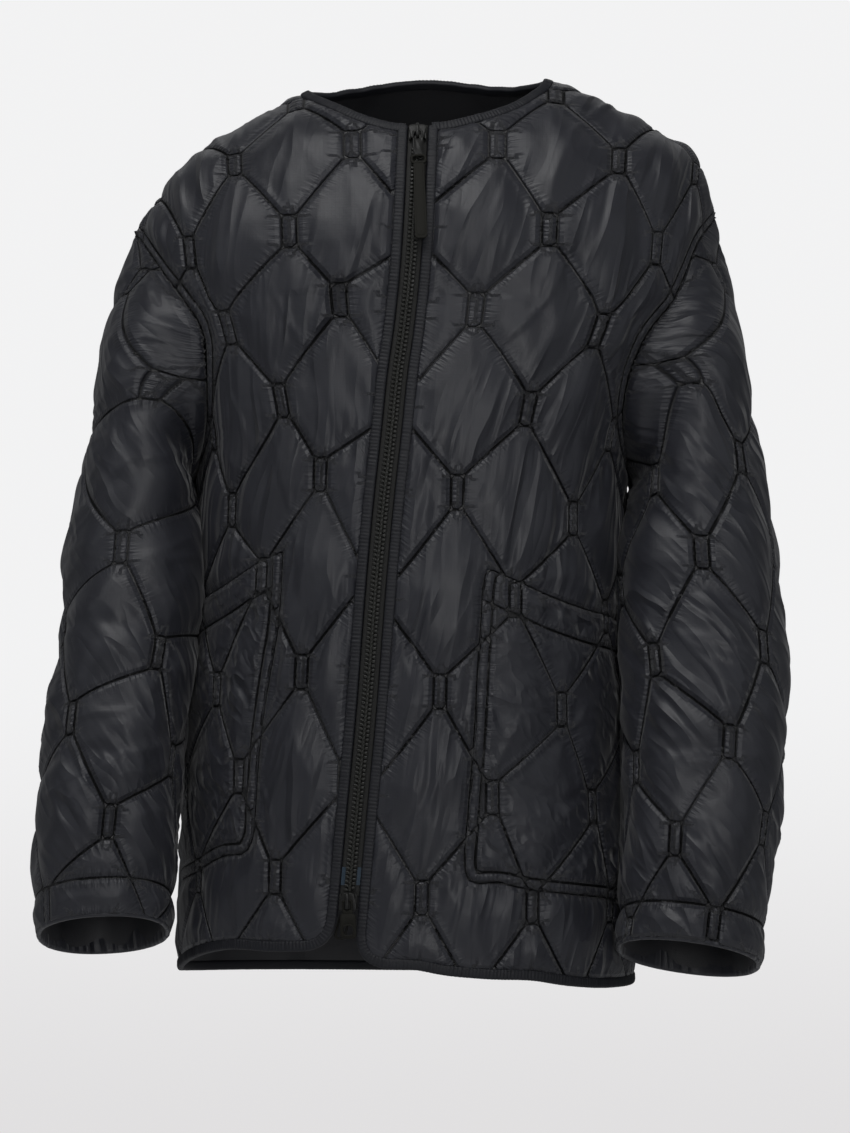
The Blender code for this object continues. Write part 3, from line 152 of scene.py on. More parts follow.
def smoothTable(table, at):
    # cubic through the table's rows at values of its first column, with slopes taken from the neighbouring rows
    key = table[:, 0]
    slope = np.gradient(table, key, axis=0)
    at = np.clip(np.asarray(at, float), key[0], key[-1])
    k = np.clip(np.searchsorted(key, at) - 1, 0, len(key) - 2)
    h = (key[k + 1] - key[k])[:, None]
    t = (at - key[k])[:, None] / h
    start = table[k] * (1 + 2 * t) * (1 - t) ** 2 + slope[k] * h * t * (1 - t) ** 2
    return start + table[k + 1] * t * t * (3 - 2 * t) + slope[k + 1] * h * t * t * (t - 1)


def lengthsAlong(p):
    return np.concatenate([[0], np.cumsum(np.linalg.norm(np.diff(p, axis=0), axis=1))])


def evenPath(points, step=0.0, count=0):
    # smooth curve through the points, then points on it at even distances
    p = np.asarray(points, float)
    d = lengthsAlong(p)
    fine = smoothTable(np.column_stack([d, p]), np.linspace(0, d[-1], 3000))[:, 1:]
    e = lengthsAlong(fine)
    count = count or max(2, int(round(e[-1] / step)) + 1)
    s = np.linspace(0, e[-1], count)
    return np.stack([np.interp(s, e, fine[:, i]) for i in range(p.shape[1])], 1)


def unit(a):
    return a / np.maximum(np.linalg.norm(a, axis=-1), 1e-9)[..., None]


class Chart:
    # a worn surface: columns of points over u, each with its own heights v; between them the place is linear
    def __init__(self, u, v, points):
        self.u, self.v, self.points = u, v, points

    def column(self, k, v):
        out = np.empty((len(k), 3))
        for c in np.unique(k):
            m = k == c
            for axis in range(3):
                out[m, axis] = np.interp(v[m], self.v[c], self.points[c, :, axis])
        return out

    def at(self, q):
        q = np.atleast_2d(np.asarray(q, float))
        w = np.clip((q[:, 0] - self.u[0]) / (self.u[-1] - self.u[0]), 0, 1) * (len(self.u) - 1)
        k = np.clip(np.floor(w).astype(int), 0, len(self.u) - 2)
        a = (w - k)[:, None]
        return self.column(k, q[:, 1]) * (1 - a) + self.column(k + 1, q[:, 1]) * a

    def top(self, u):
        return np.interp(u, self.u, self.v[:, -1])

    def across(self, q, e=2.0):
        return np.linalg.norm(self.at(q + (e, 0)) - self.at(q - (e, 0)), axis=1) / (2 * e)

    def normal(self, q, e=6.0):
        # the cross product of the surface's two directions, outwards
        q = np.atleast_2d(np.asarray(q, float)).copy()
        q[:, 0] = np.clip(q[:, 0], self.u[0] + e, self.u[-1] - e)
        q[:, 1] = np.minimum(q[:, 1], self.top(q[:, 0]) - 1.5 * e)
        n = np.cross(self.at(q + (e, 0)) - self.at(q - (e, 0)), self.at(q + (0, e)) - self.at(q - (0, e)))
        return unit(n)


def torsoChart(front):
    # half of the torso: superellipse rings up to the chest, then a cap that closes at the shoulder line
    power = 2 / chartSizes["torsoPower"]
    p = np.linspace(0, math.pi / 2, 4001)
    across, away = np.sin(p) ** power, np.cos(p) ** power
    arc = np.concatenate([[0], np.cumsum(np.hypot(np.diff(across), np.diff(away)))])
    f = np.linspace(-1, 1, chartSizes["columns"])
    s = np.interp(abs(f), arc / arc[-1], across) * np.sign(f)
    c = np.interp(abs(f), arc / arc[-1], away)
    c[0] = c[-1] = 0
    heights = np.linspace(torsoRows[0, 0], chestHeight, chartSizes["lowRings"])
    rows = smoothTable(torsoRows, heights)
    depth, sign = (4, -1) if front else (5, 1)
    half = np.where(f[:, None] < 0, rows[None, :, 2], rows[None, :, 3])
    sideY = rows[None, :, 6]
    low = np.stack([rows[None, :, 1] + half * s[:, None],
                    sideY + (sign * rows[None, :, depth] - sideY) * c[:, None],
                    np.broadcast_to(heights[None], half.shape)], -1)
    lift = np.sin(np.linspace(0, math.pi / 2, chartSizes["capRings"] + 1)[1:])[None]
    x = torsoRows[-1, 1] + (torsoRows[-1, 2] + capGrowth * lift) * s[:, None]
    line = smoothTable(shoulderLine, np.ravel(x))[:, 1].reshape(x.shape)
    if not front:
        line = line + backNeckLift * np.clip(1 - (x / backNeckReach) ** 2, 0, 1) ** 2
    z = chestHeight + (line - chestHeight) * lift
    sideY = torsoRows[-1, 6]
    y = (sideY + (sign * torsoRows[-1, depth] - sideY) * c[:, None]) * np.sqrt(1 - lift ** 2 + 1e-12)
    y[:, -1] = 0
    points = np.concatenate([low, np.stack([x, y, z], -1)], 1)
    rise = chestHeight + np.cumsum(np.linalg.norm(np.diff(points[:, chartSizes["lowRings"] - 1:], axis=1), axis=-1), 1)
    heights = np.concatenate([low[..., 2], rise], 1)
    if not front:
        points, heights = points[::-1], heights[::-1]
    return Chart(f * form["quarter"], heights, points)


def sleeveChart(side, frontLoop, backLoop):
    # a sleeve from cuff to armhole: rings through the stations, the last one being the armhole itself
    power = 2 / chartSizes["sleevePower"]
    f = np.linspace(-1, 1, chartSizes["columns"])
    ef, eb = lengthsAlong(frontLoop), lengthsAlong(backLoop)
    ahead = np.stack([np.interp(-f, ef / ef[-1], frontLoop[:, i]) for i in range(3)], 1)
    behind = np.stack([np.interp(f, eb / eb[-1], backLoop[:, i]) for i in range(3)], 1)
    rings = [np.where((f < 0)[:, None], ahead, behind)]
    p = np.linspace(0, math.pi, 4001)
    ex = np.sign(np.cos(p)) * abs(np.cos(p)) ** power
    ey = abs(np.sin(p)) ** power
    for xOuter, zOuter, xInner, zInner, yMiddle, halfDepth, frontRise in sleeveStations[side]:
        half = (xOuter - xInner) / 2
        arc = np.concatenate([[0], np.cumsum(np.hypot(np.diff(ex) * half, np.diff(ey) * halfDepth))])
        c = np.interp(abs(f), arc / arc[-1], ex)
        s = np.interp(abs(f), arc / arc[-1], ey) * np.where(f < 0, -1, 1)
        rings.append(np.stack([(xOuter + xInner) / 2 + half * c, yMiddle + halfDepth * s,
                               (zOuter + zInner) / 2 + (zOuter - zInner) / 2 * c - frontRise * s], 1))
    rings = np.array(rings)
    points = np.array([evenPath(rings[:, k], count=chartSizes["sleeveRings"])[::-1] for k in range(len(f))])
    if side == "right":
        points = points[::-1]
    rise = np.cumsum(np.linalg.norm(np.diff(points, axis=1), axis=-1), 1)
    return Chart(f * 2 * form["sleeveQuarter"], np.concatenate([np.zeros((len(f), 1)), rise], 1), points)


def insideLoop(points, loop):
    # even-odd rule: how many edges of the outline a ray to the right crosses
    out = np.zeros(len(points), bool)
    x, y = points[:, 0], points[:, 1]
    for a, b in zip(loop, np.roll(loop, -1, axis=0)):
        if a[1] != b[1]:
            crosses = (a[1] > y) != (b[1] > y)
            out ^= crosses & (x < a[0] + (y - a[1]) * (b[0] - a[0]) / (b[1] - a[1]))
    return out


def areaSign(loop):
    return np.sign((loop[:, 0] * np.roll(loop[:, 1], -1) - loop[:, 1] * np.roll(loop[:, 0], -1)).sum())


def shifted(chart, line, by):
    # the line moved to its left by so many millimetres of cloth, through the surface's own two directions
    flat = np.asarray(line, float)
    t = np.gradient(flat, axis=0)
    q = flat.copy()
    q[:, 0] = np.clip(q[:, 0], chart.u[0] + 2, chart.u[-1] - 2)
    q[:, 1] = np.minimum(q[:, 1], chart.top(q[:, 0]) - 3)
    pu = (chart.at(q + (2, 0)) - chart.at(q - (2, 0))) / 4
    pv = (chart.at(q + (0, 2)) - chart.at(q - (0, 2))) / 4
    left = unit(np.cross(unit(np.cross(pu, pv)), pu * t[:, :1] + pv * t[:, 1:]))
    uu, uv, vv = (pu * pu).sum(1), (pu * pv).sum(1), (pv * pv).sum(1)
    lu, lv = (left * pu).sum(1), (left * pv).sum(1)
    det = np.maximum(uu * vv - uv * uv, 1e-9)
    return flat + by * np.column_stack([(lu * vv - lv * uv) / det, (lv * uu - lu * uv) / det])


def joined(*parts):
    out = [parts[0]]
    for p in parts[1:]:
        out.append(p[1:] if np.linalg.norm(p[0] - out[-1][-1]) < 0.5 else p)
    loop = np.concatenate(out)
    return loop[:-1] if np.linalg.norm(loop[0] - loop[-1]) < 0.5 else loop


def segments(points, closed=False):
    return list(zip(points, np.roll(points, -1, axis=0))) if closed else list(zip(points[:-1], points[1:]))


def distanceTo(points, pairs):
    best = np.full(len(points), 1e9)
    for a, b in pairs:
        d = b - a
        t = np.clip(((points - a) @ d) / max(d @ d, 1e-12), 0, 1)
        best = np.minimum(best, np.linalg.norm(points - a - t[:, None] * d, axis=1))
    return best


def quiltPattern(rows, loop, columns=9, margin=0.8):
    # stitched bars and the slants from bar to bar, each cut off short of the piece's edge
    w, h = form["barWidth"] / 2, form["barHeight"] / 2
    bars = {(i, r): (u + i * step, v - sag * min(abs(i), 3) + i * sum(tilt))
            for r, (v, u, step, sag, *tilt) in rows.items()
            for i in range(-columns, columns + 1) if (i + r) % 2 == 0}
    found = []
    for (i, r), (u, v) in bars.items():
        found += [((u - w, v - h), (u - w, v + h)), ((u + w, v - h), (u + w, v + h)),
                  ((u - w, v - h), (u + w, v - h)), ((u - w, v + h), (u + w, v + h))]
        for step in (-1, 1):
            if (i + step, r + 1) in bars:
                p, q = bars[i + step, r + 1]
                found.append(((u + step * w, v - h), (p - step * w, q + h)))
    edge = segments(loop, True)
    kept = []
    for a, b in found:
        p = np.array(a) + (np.array(b) - np.array(a)) * np.linspace(0, 1, 81)[:, None]
        ok = insideLoop(p, loop)
        if ok.any():
            ok[ok] = distanceTo(p[ok], edge) > margin
        run = np.flatnonzero(ok)
        for part in np.split(run, np.flatnonzero(np.diff(run) > 1) + 1):
            if len(part) > 1 and np.linalg.norm(p[part[-1]] - p[part[0]]) > 4:
                kept.append((p[part[0]], p[part[-1]]))
    return kept, np.array(list(bars.values()))


print("charts and outlines")
front, back = torsoChart(True), torsoChart(False)
halves = {"front": front, "back": back}
inward = {("right", "front"): 1, ("left", "front"): -1, ("right", "back"): -1, ("left", "back"): 1}


def seamPoints(chart, line, step):
    return evenPath([(u, chart.top(u)) if v is None else (u, v) for u, v in line], step=step)


holeLines = {key: seamPoints(halves[key[1]], line, 4.0) for key, line in armholes.items()}
sleeves = {side: sleeveChart(side, *(halves[part].at(seamPoints(halves[part], armholes[side, part], 2.0))
                                     for part in ("front", "back"))) for side in ("right", "left")}


def zipEdge(v, by):
    # a line beside the zip's centre, so many millimetres of cloth to the viewer's right of it
    v = np.atleast_1d(np.asarray(v, float))
    centre = np.column_stack([smoothTable(zipLine, v)[:, 1], v])
    return np.column_stack([centre[:, 0] + by / front.across(centre), v])


# heights on the chart of the tape's ends, the teeth, the film and the two sliders, and half widths
zipSizes = {"tapeHalf": 8.0, "pitch": 3.4, "top": -34.0, "end": -652.0, "teethTop": -57.0, "teethEnd": -648.5,
            "filmTop": -629.0, "filmEnd": -643.0, "filmMiddle": 6.1, "topSlider": -44.5, "bottomSlider": -656.0}
bindingSizes = {"width": 8.4, "rise": 1.5, "pucker": 0.36, "puckerPitch": 2.9, "step": 0.85}
inset = bindingSizes["width"] - 1.6     # the shell runs in under its binding


def frontEdge(side):
    # outer edge of one front: down the zip, round the corner, then the hem to the side seam
    sign, hem = (-1 if side == "right" else 1), hemLines[side]
    hemV = hem[0][1]
    down = zipEdge(np.linspace(-34.4, hemV + form["cornerRadius"], 60), sign * zipSizes["tapeHalf"])
    corner = np.array([zipEdge(hemV, sign * zipSizes["tapeHalf"])[0, 0], hemV])
    end = np.array([down[-1, 0] + sign * form["cornerRadius"] * 0.95, hemV + 0.4])
    t = np.linspace(0, 1, 15)[:, None]
    arc = down[-1] * (1 - t) ** 2 + 2 * corner * t * (1 - t) + end * t ** 2
    rest = [tuple(end)] + [h for h in hem if (h[0] - end[0]) * sign > 8]
    return joined(evenPath(down, step=5.0), evenPath(arc, step=3.0), evenPath(rest, step=5.0))


edgeLines = {side: frontEdge(side) for side in ("right", "left")}
backHem = evenPath(hemLines["back"], step=5.0)
neckLines = {
    "right": evenPath([(u, front.top(u)) if v is None else (u, v) for u, v in neckFront[:6]]
                      + [tuple(zipEdge(-33.0, -zipSizes["tapeHalf"] - 0.4)[0])], step=3.0),
    "left": evenPath([tuple(zipEdge(-32.0, zipSizes["tapeHalf"] + 0.4)[0])]
                     + [(u, front.top(u)) if v is None else (u, v) for u, v in neckFront[6:]], step=3.0),
}


def backNeckLine():
    # behind the shoulder line the neck is a shallow curve that comes up to it at both ends
    first, last = -neckFront[0][0], -neckFront[-1][0]
    u = np.linspace(first, last, 41)
    t = abs((u - first) / (last - first) * 2 - 1)
    y = neckBackDepth * (1 - t ** 2.2) ** 0.6
    k = np.argmin(abs(back.u[:, None] - u[None]), 0)
    cap = chartSizes["lowRings"] - 1
    v = np.array([np.interp(-y[n], -back.points[c, cap:, 1], back.v[c, cap:]) for n, c in enumerate(k)])
    v[0], v[-1] = back.top(first), back.top(last)
    return np.column_stack([u, v])


backNeck = evenPath(backNeckLine(), step=4.0)
neckU = {"right": abs(neckFront[0][0]) + 7.4, "left": abs(neckFront[-1][0]) + 7.4}
sideLow = {"right": -727.0 + inset, "left": -733.0 + inset}


def shoulderSeam(side, part):
    sign = {("right", "front"): -1, ("left", "front"): 1, ("right", "back"): 1, ("left", "back"): -1}[side, part]
    u = sign * np.linspace(neckU[side], abs(armholes[side, part][0][0]), 45)
    return np.column_stack([u, halves[part].top(u)])


def sideSeam(u, low):
    v = np.linspace(-308.0, low, 90)
    return np.column_stack([np.full(90, float(u)), v])


def frontLoop(side):
    sign = -1 if side == "right" else 1
    line = shifted(front, neckLines[side], -inset)
    line = line[::-1] if side == "left" else line
    limit = zipEdge(line[-1, 1], sign * (zipSizes["tapeHalf"] + inset))[0, 0]
    line = line[(line[:, 0] - limit) * sign > 2]
    shoulderU = sign * neckU[side]
    line = line[((line[:, 0] - shoulderU) * -sign > 0.3) & (line[:, 1] < front.top(line[:, 0]) - 3)]
    endV = line[-1, 1] + (limit - line[-1, 0]) * (line[-1, 1] - line[-2, 1]) / (line[-1, 0] - line[-2, 0])
    neckline = np.concatenate([[(shoulderU, front.top(shoulderU))], line, [(limit, endV)]])
    edge = shifted(front, edgeLines[side], sign * inset)
    edge = edge[edge[:, 1] < neckline[-1, 1] - 3]
    edge = edge[abs(edge[:, 0]) < form["quarter"] - 3]
    edge = np.concatenate([edge, [(sign * form["quarter"], sideLow[side])]])
    seam = sideSeam(sign * form["quarter"], sideLow[side])[::-1]
    return joined(neckline, edge, seam, holeLines[side, "front"][::-1], shoulderSeam(side, "front")[::-1])


def backLoop():
    line = shifted(back, backNeck, inset)
    first, last = neckU["right"], -neckU["left"]
    line = line[(line[:, 0] < first - 0.3) & (line[:, 0] > last + 0.3)]
    line = line[line[:, 1] < back.top(line[:, 0]) - 3]
    line = np.concatenate([[(first, back.top(first))], line, [(last, back.top(last))]])
    hem = shifted(back, backHem, -inset)
    hem = hem[abs(hem[:, 0]) < form["quarter"] - 3]
    hem = np.concatenate([[(form["quarter"], sideLow["right"])], hem, [(-form["quarter"], sideLow["left"])]])
    return joined(line, shoulderSeam("left", "back"), holeLines["left", "back"],
                  sideSeam(-form["quarter"], sideLow["left"]), hem[::-1],
                  sideSeam(form["quarter"], sideLow["right"])[::-1], holeLines["right", "back"][::-1],
                  shoulderSeam("right", "back")[::-1])


def pocketShape(side):
    table = pocketLines[side]
    mouth, inner = evenPath(table["mouth"], step=4.0), evenPath(table["side"], step=5.0)
    bottom, outer = evenPath(table["bottom"], step=4.0), evenPath(table["outer"], step=6.0)
    loop = joined(mouth, inner, bottom, outer)
    sign = 1 if side == "left" else -1
    border = shifted(front, np.concatenate([inner, bottom[1:]]), sign * pocketBorder)
    band = mouth + (0, -pocketBand)
    return loop, band[insideLoop(band, loop)], border[insideLoop(border, loop)]


# ---- cloth grids
def lineFields(q, pairs, reach):
    # for each grid point, the nearest line: distance, foot on it, length along it, and how near counts as on it
    step, shape = q[1, 1] - q[0, 0], q.shape[:2]
    best, foot = np.full(shape, 1e9), np.zeros(q.shape)
    along, limit, travelled = np.zeros(shape), np.zeros(shape), 0.0
    for a, b in pairs:
        a, b = np.asarray(a, float), np.asarray(b, float)
        d = b - a
        length = max(np.hypot(*d), 1e-9)
        low = np.clip(np.floor((np.minimum(a, b) - reach - q[0, 0]) / step).astype(int), 0, None)
        high = np.clip(np.ceil((np.maximum(a, b) + reach - q[0, 0]) / step).astype(int) + 1, 0, None)
        w = (slice(low[1], high[1]), slice(low[0], high[0]))
        t = np.clip((q[w] - a) @ d / length ** 2, 0, 1)
        f = a + t[..., None] * d
        dist = np.linalg.norm(q[w] - f, axis=-1)
        near = dist < best[w]
        best[w][near], foot[w][near] = dist[near], f[near]
        along[w][near] = travelled + t[near] * length
        limit[w][near] = 0.51 * max(step[0] * abs(d[1]), step[1] * abs(d[0])) / length
        travelled += length + 7.3
    return best, foot, along, limit


def softNoise(shape, size, seed, angle=0.0):
    # white noise blurred by a long Gaussian: size is (across, along) in grid points, turned by an angle in degrees
    ky, kx = np.fft.fftfreq(shape[0])[:, None], np.fft.rfftfreq(shape[1])[None]
    c, s = math.cos(math.radians(angle)), math.sin(math.radians(angle))
    blur = np.exp(-2 * math.pi ** 2 * (((kx * c + ky * s) * size[0]) ** 2 + ((ky * c - kx * s) * size[1]) ** 2) / 6)
    out = np.fft.irfft2(np.fft.rfft2(np.random.default_rng(seed).standard_normal(shape)) * blur, shape)
    return (out - out.mean()) / out.std()


def coarseRoom(base, cloud, k=4):
    # distance from every k-th grid point to a cloud of points, spread back over the grid linearly
    some = base[::k, ::k].reshape(-1, 3).astype(np.float32)
    near = np.concatenate([np.sqrt(((some[n:n + 300, None] - cloud[None]) ** 2).sum(-1).min(1))
                           for n in range(0, len(some), 300)]).reshape(base[::k, ::k].shape[:2])
    rows = np.clip(np.arange(base.shape[0]) / k, 0, near.shape[0] - 1.001)
    cols = np.clip(np.arange(base.shape[1]) / k, 0, near.shape[1] - 1.001)
    r, c = rows.astype(int), cols.astype(int)
    a, b = (rows - r)[:, None], (cols - c)[None]
    return ((near[r][:, c] * (1 - b) + near[r][:, c + 1] * b) * (1 - a)
            + (near[r + 1][:, c] * (1 - b) + near[r + 1][:, c + 1] * b) * a)


def clothGrid(chart, loop, lines, step=gridStep):
    # an even grid over the outline; points beside the outline or a stitch line are drawn onto it
    low, high = loop.min(0) - step, loop.max(0) + step
    q = np.stack(np.meshgrid(np.arange(low[0], high[0] + step[0], step[0]),
                             np.arange(low[1], high[1] + step[1], step[1])), -1)
    within = insideLoop(q.reshape(-1, 2), loop).reshape(q.shape[:2])
    edgeDist, edgeFoot, _, edgeLimit = lineFields(q, segments(loop, True), 40.0)
    onEdge = edgeDist <= edgeLimit
    lineDist, lineFoot, along, lineLimit = lineFields(q, lines, 40.0)
    onLine = (lineDist <= lineLimit) & ~onEdge & within
    active = within | onEdge
    q = np.where(onEdge[..., None], edgeFoot, np.where(onLine[..., None], lineFoot, q))
    corner = gridFaces(*q.shape[:2], wrapCols=False)
    good, fixed = active.reshape(-1)[corner], (onEdge | onLine).reshape(-1)[corner]
    whole = good.all(1)
    other = (fixed[:, 1] & fixed[:, 3] & ~(fixed[:, 0] & fixed[:, 2]))
    turn = (corner.sum(1) // 7 % 2 == 0) & ~(fixed[:, 0] & fixed[:, 2])
    bd = whole & (other | turn)
    ac = whole & ~bd
    tris = [corner[ac][:, [0, 1, 2]], corner[ac][:, [0, 2, 3]], corner[bd][:, [0, 1, 3]], corner[bd][:, [1, 2, 3]]]
    for missing in range(4):
        three = (good.sum(1) == 3) & ~good[:, missing]
        tris.append(corner[three][:, [k for k in range(4) if k != missing]])
    tris = np.concatenate(tris)
    flat = q.reshape(-1, 2)
    d1, d2 = flat[tris[:, 1]] - flat[tris[:, 0]], flat[tris[:, 2]] - flat[tris[:, 0]]
    size = d1[:, 0] * d2[:, 1] - d1[:, 1] * d2[:, 0]
    tris = tris[size > 0.04 * step[0] * step[1]]
    tris = tris[insideLoop(flat[tris].mean(1), loop)]
    base = chart.at(flat).reshape(*q.shape[:2], 3)
    normal = chart.normal(flat).reshape(base.shape)
    dist = np.where(onEdge | onLine, 0, np.minimum(edgeDist, lineDist))
    return {"q": q, "base": base, "normal": normal, "active": active, "pinned": onEdge | onLine, "onEdge": onEdge,
            "tris": tris, "dist": dist, "lineDist": np.where(onLine, 0, lineDist), "along": along, "edgeDist": edgeDist}


# stiffness of the links to the next point, the diagonal one, the second and the fourth, and the share of its length
# below which each of them pushes
linkSizes = {"stiff": (0.25, 0.12, 0.12, 0.05), "bendShare": (1, 1, 0.995, 0.97)}


def relax(g, start, rise, floor, ceiling, slack, rounds, fill):
    # slack cloth on wadding: each link between neighbours pushes toward its own length, which is longer than the
    # form by its slack; the wadding draws every point a little toward its rise, and stitched points stay put
    base, normal = g["base"].astype(np.float32), g["normal"].astype(np.float32)
    free = (g["active"] & ~g["pinned"])[..., None].astype(np.float32)
    su, sv = (1 + slack[0])[..., None], (1 + slack[1])[..., None]
    links = []
    for dv, du, kind in ((0, 1, 0), (1, 0, 0), (1, 1, 1), (1, -1, 1), (0, 2, 2), (2, 0, 2), (0, 4, 3), (4, 0, 3)):
        rows, cols = base.shape[0] - dv, base.shape[1] - abs(du)
        a = (slice(0, rows), slice(max(0, -du), max(0, -du) + cols))
        b = (slice(dv, dv + rows), slice(max(0, du), max(0, du) + cols))
        factor = np.sqrt((du ** 2 * su[a] ** 2 + dv ** 2 * sv[a] ** 2) / (du ** 2 + dv ** 2))[..., 0]
        rest = np.linalg.norm(base[b] - base[a], axis=-1) * factor
        hold = (g["active"][a] & g["active"][b] & (rest > 1e-3)).astype(np.float32)
        if kind > 1:
            for part in range(1, max(du, dv)):
                down, over = part * (dv > 0), part * (du > 0)
                middle = (slice(down, down + rows), slice(over, over + cols))
                hold = hold * (g["active"][middle] & ~g["pinned"][middle])
            rest = rest * linkSizes["bendShare"][kind]
        links.append((a, b, rest.astype(np.float32), (hold * linkSizes["stiff"][kind]).astype(np.float32), kind))
    pos = base + normal * np.where(g["pinned"], floor, start)[..., None].astype(np.float32)
    rise, floor, ceiling = (x.astype(np.float32) for x in (rise, floor, ceiling))
    for _ in range(rounds):
        move = np.zeros_like(pos)
        for a, b, rest, hold, kind in links:
            d = pos[b] - pos[a]
            length = np.sqrt(np.einsum("ijk,ijk->ij", d, d)) + 1e-6
            short = length - rest
            short = np.minimum(short, 0) if kind > 1 else short
            d *= (short / length * hold)[..., None]
            move[a] += d
            move[b] -= d
        off = pos + move * free - base
        h = np.einsum("ijk,ijk->ij", off, normal)
        side = off - h[..., None] * normal
        h = np.clip(h + (rise - h) * fill, floor, ceiling)
        far = np.sqrt(np.einsum("ijk,ijk->ij", side, side)) + 1e-6
        side *= (0.985 * np.minimum(1, 1.6 / far))[..., None]
        new = base + h[..., None] * normal + side
        pos = np.where(free > 0, new, pos)
    return pos.astype(float)


def addMesh(name, points, faces, finish, smooth=True, maps=None, fields=None):
    # one mesh in metres; a map or field is given a value for each point
    mesh = bpy.data.meshes.new(name)
    faces = faces.tolist() if hasattr(faces, "tolist") else faces
    mesh.from_pydata(np.asarray(points, float) / 1000, [], faces)
    mesh.polygons.foreach_set("use_smooth", np.full(len(mesh.polygons), smooth))
    order = np.empty(len(mesh.loops), np.int32)
    mesh.loops.foreach_get("vertex_index", order)
    for title, uv in (maps or {}).items():
        mesh.uv_layers.new(name=title).data.foreach_set("uv", uv[order].astype(np.float32).ravel())
    for title, value in (fields or {}).items():
        mesh.attributes.new(title, "FLOAT", "POINT").data.foreach_set("value", value.astype(np.float32))
    mesh.materials.append(finish)
    obj = bpy.data.objects.new(name, mesh)
    bpy.context.scene.collection.objects.link(obj)
    return obj


def gridFaces(rows, cols, wrapCols=True, wrapRows=False):
    ids = np.arange(rows * cols).reshape(rows, cols)
    ids = np.concatenate([ids, ids[:, :1]], 1) if wrapCols else ids
    ids = np.concatenate([ids, ids[:1]], 0) if wrapRows else ids
    return np.stack([ids[:-1, :-1], ids[:-1, 1:], ids[1:, 1:], ids[1:, :-1]], -1).reshape(-1, 4)


def stamped(shape, faces, places):
    # the same small shape at every place, as one mesh
    origin, right, up, out = places
    verts = (origin[:, None] + shape[None, :, :1] * right[:, None] + shape[None, :, 1:2] * up[:, None]
             + shape[None, :, 2:] * out[:, None])
    faces = faces[None] + (np.arange(len(origin)) * len(shape))[:, None, None]
    return verts.reshape(-1, 3), faces.reshape(-1, faces.shape[-1])


def compact(tris, *arrays):
    used, again = np.unique(tris, return_inverse=True)
    return [again.reshape(tris.shape)] + [a.reshape(-1, *a.shape[2:])[used] for a in arrays]


def wallDown(points, tris, drop):
    # a rim round the open edge: each edge that only one triangle has goes down by its points' drop
    e = np.concatenate([tris[:, [0, 1]], tris[:, [1, 2]], tris[:, [2, 0]]])
    key = e[:, 0].astype(np.int64) * len(points) + e[:, 1]
    back = e[:, 1].astype(np.int64) * len(points) + e[:, 0]
    e = e[~np.isin(key, back)]
    used, again = np.unique(e, return_inverse=True)
    again = again.reshape(e.shape) + len(points)
    rim = np.concatenate([np.column_stack([e[:, 1], e[:, 0], again[:, 0]]),
                          np.column_stack([e[:, 1], again[:, 0], again[:, 1]])])
    return np.concatenate([points, points[used] + drop[used]]), np.concatenate([tris, rim]), used


# ---- shader wiring
class Wire:
    # a socket that takes part in + - * / and a few named sums, each of which adds a Math node
    def __init__(self, graph, socket):
        self.graph, self.socket = graph, socket

    def math(self, operation, *others, **settings):
        return self.graph.node("ShaderNodeMath", {"operation": operation, **settings},
                               {n: v for n, v in enumerate((self, *others))})

    def __add__(self, other):
        return self.math("ADD", other)

    def __sub__(self, other):
        return self.math("SUBTRACT", other)

    def __rsub__(self, other):
        return self.graph.node("ShaderNodeMath", {"operation": "SUBTRACT"}, {0: other, 1: self})

    def __mul__(self, other):
        return self.math("MULTIPLY", other)

    def __truediv__(self, other):
        return self.math("DIVIDE", other)

    def __pow__(self, other):
        return self.math("POWER", other)

    __radd__, __rmul__ = __add__, __mul__

    def clamped(self):
        return self.math("ADD", 0.0, use_clamp=True)


class Graph:
    # one material; node() adds any node: its settings first, then values or wires for its sockets
    def __init__(self, name, **surface):
        self.material = bpy.data.materials.new(name)
        self.material.use_nodes = True
        self.nodes, self.links = self.material.node_tree.nodes, self.material.node_tree.links
        self.surface = self.nodes["Principled BSDF"]
        self.feed(self.surface, surface)
        self.material.diffuse_color = (*list(surface.get("Base Color", (0.02, 0.02, 0.02)))[:3], 1)

    def feed(self, node, sockets):
        for key, value in sockets.items():
            if isinstance(value, Wire):
                self.links.new(value.socket, node.inputs[key])
            elif value is not None:
                target = node.inputs[key]
                isColour = target.type == "RGBA"
                target.default_value = (*value, 1) if isColour and len(value) == 3 else value

    def node(self, kind, settings=None, sockets=None, output=0):
        made = self.nodes.new(kind)
        for key, value in (settings or {}).items():
            setattr(made, key, value)
        self.feed(made, sockets or {})
        return Wire(self, made.outputs[output])

    def put(self, **sockets):
        self.feed(self.surface, {k.replace("_", " "): v for k, v in sockets.items()})
        return self.material

    def mix(self, factor, a, b):
        return self.node("ShaderNodeMix", {"data_type": "RGBA"}, {0: factor, 6: a, 7: b}, 2)

    def noise(self, vector, scale, detail=2.0, rough=0.5):
        return self.node("ShaderNodeTexNoise", {},
                         {"Vector": vector, "Scale": scale, "Detail": detail, "Roughness": rough})

    def field(self, name):
        return self.node("ShaderNodeAttribute", {"attribute_name": name}, {}, 2)

    def bump(self, height, distance, under=None):
        return self.node("ShaderNodeBump", {},
                         {"Strength": 1.0, "Distance": distance, "Height": height, "Normal": under})


def vectorOf(graph, x, y, z=0.0):
    return graph.node("ShaderNodeCombineXYZ", {}, {0: x, 1: y, 2: z})


# colours (the third is painted shade for the stitch grooves), then sizes in millimetres, the fold's turn in degrees,
# and the bumps' depths in metres
nylonLook = {"dark": (0.0088, 0.0094, 0.0140), "light": (0.0150, 0.0160, 0.0228), "seam": (0.0020, 0.0021, 0.0028),
             "roughness": 0.445, "ripstop": 2.3, "puckerPitch": 2.6, "puckerDepth": 0.0024, "grooveAndShade": 1.0,
             "foldAcross": 17.0, "foldAlong": 120.0, "foldTurn": -9.0, "foldDepth": 0.0064}


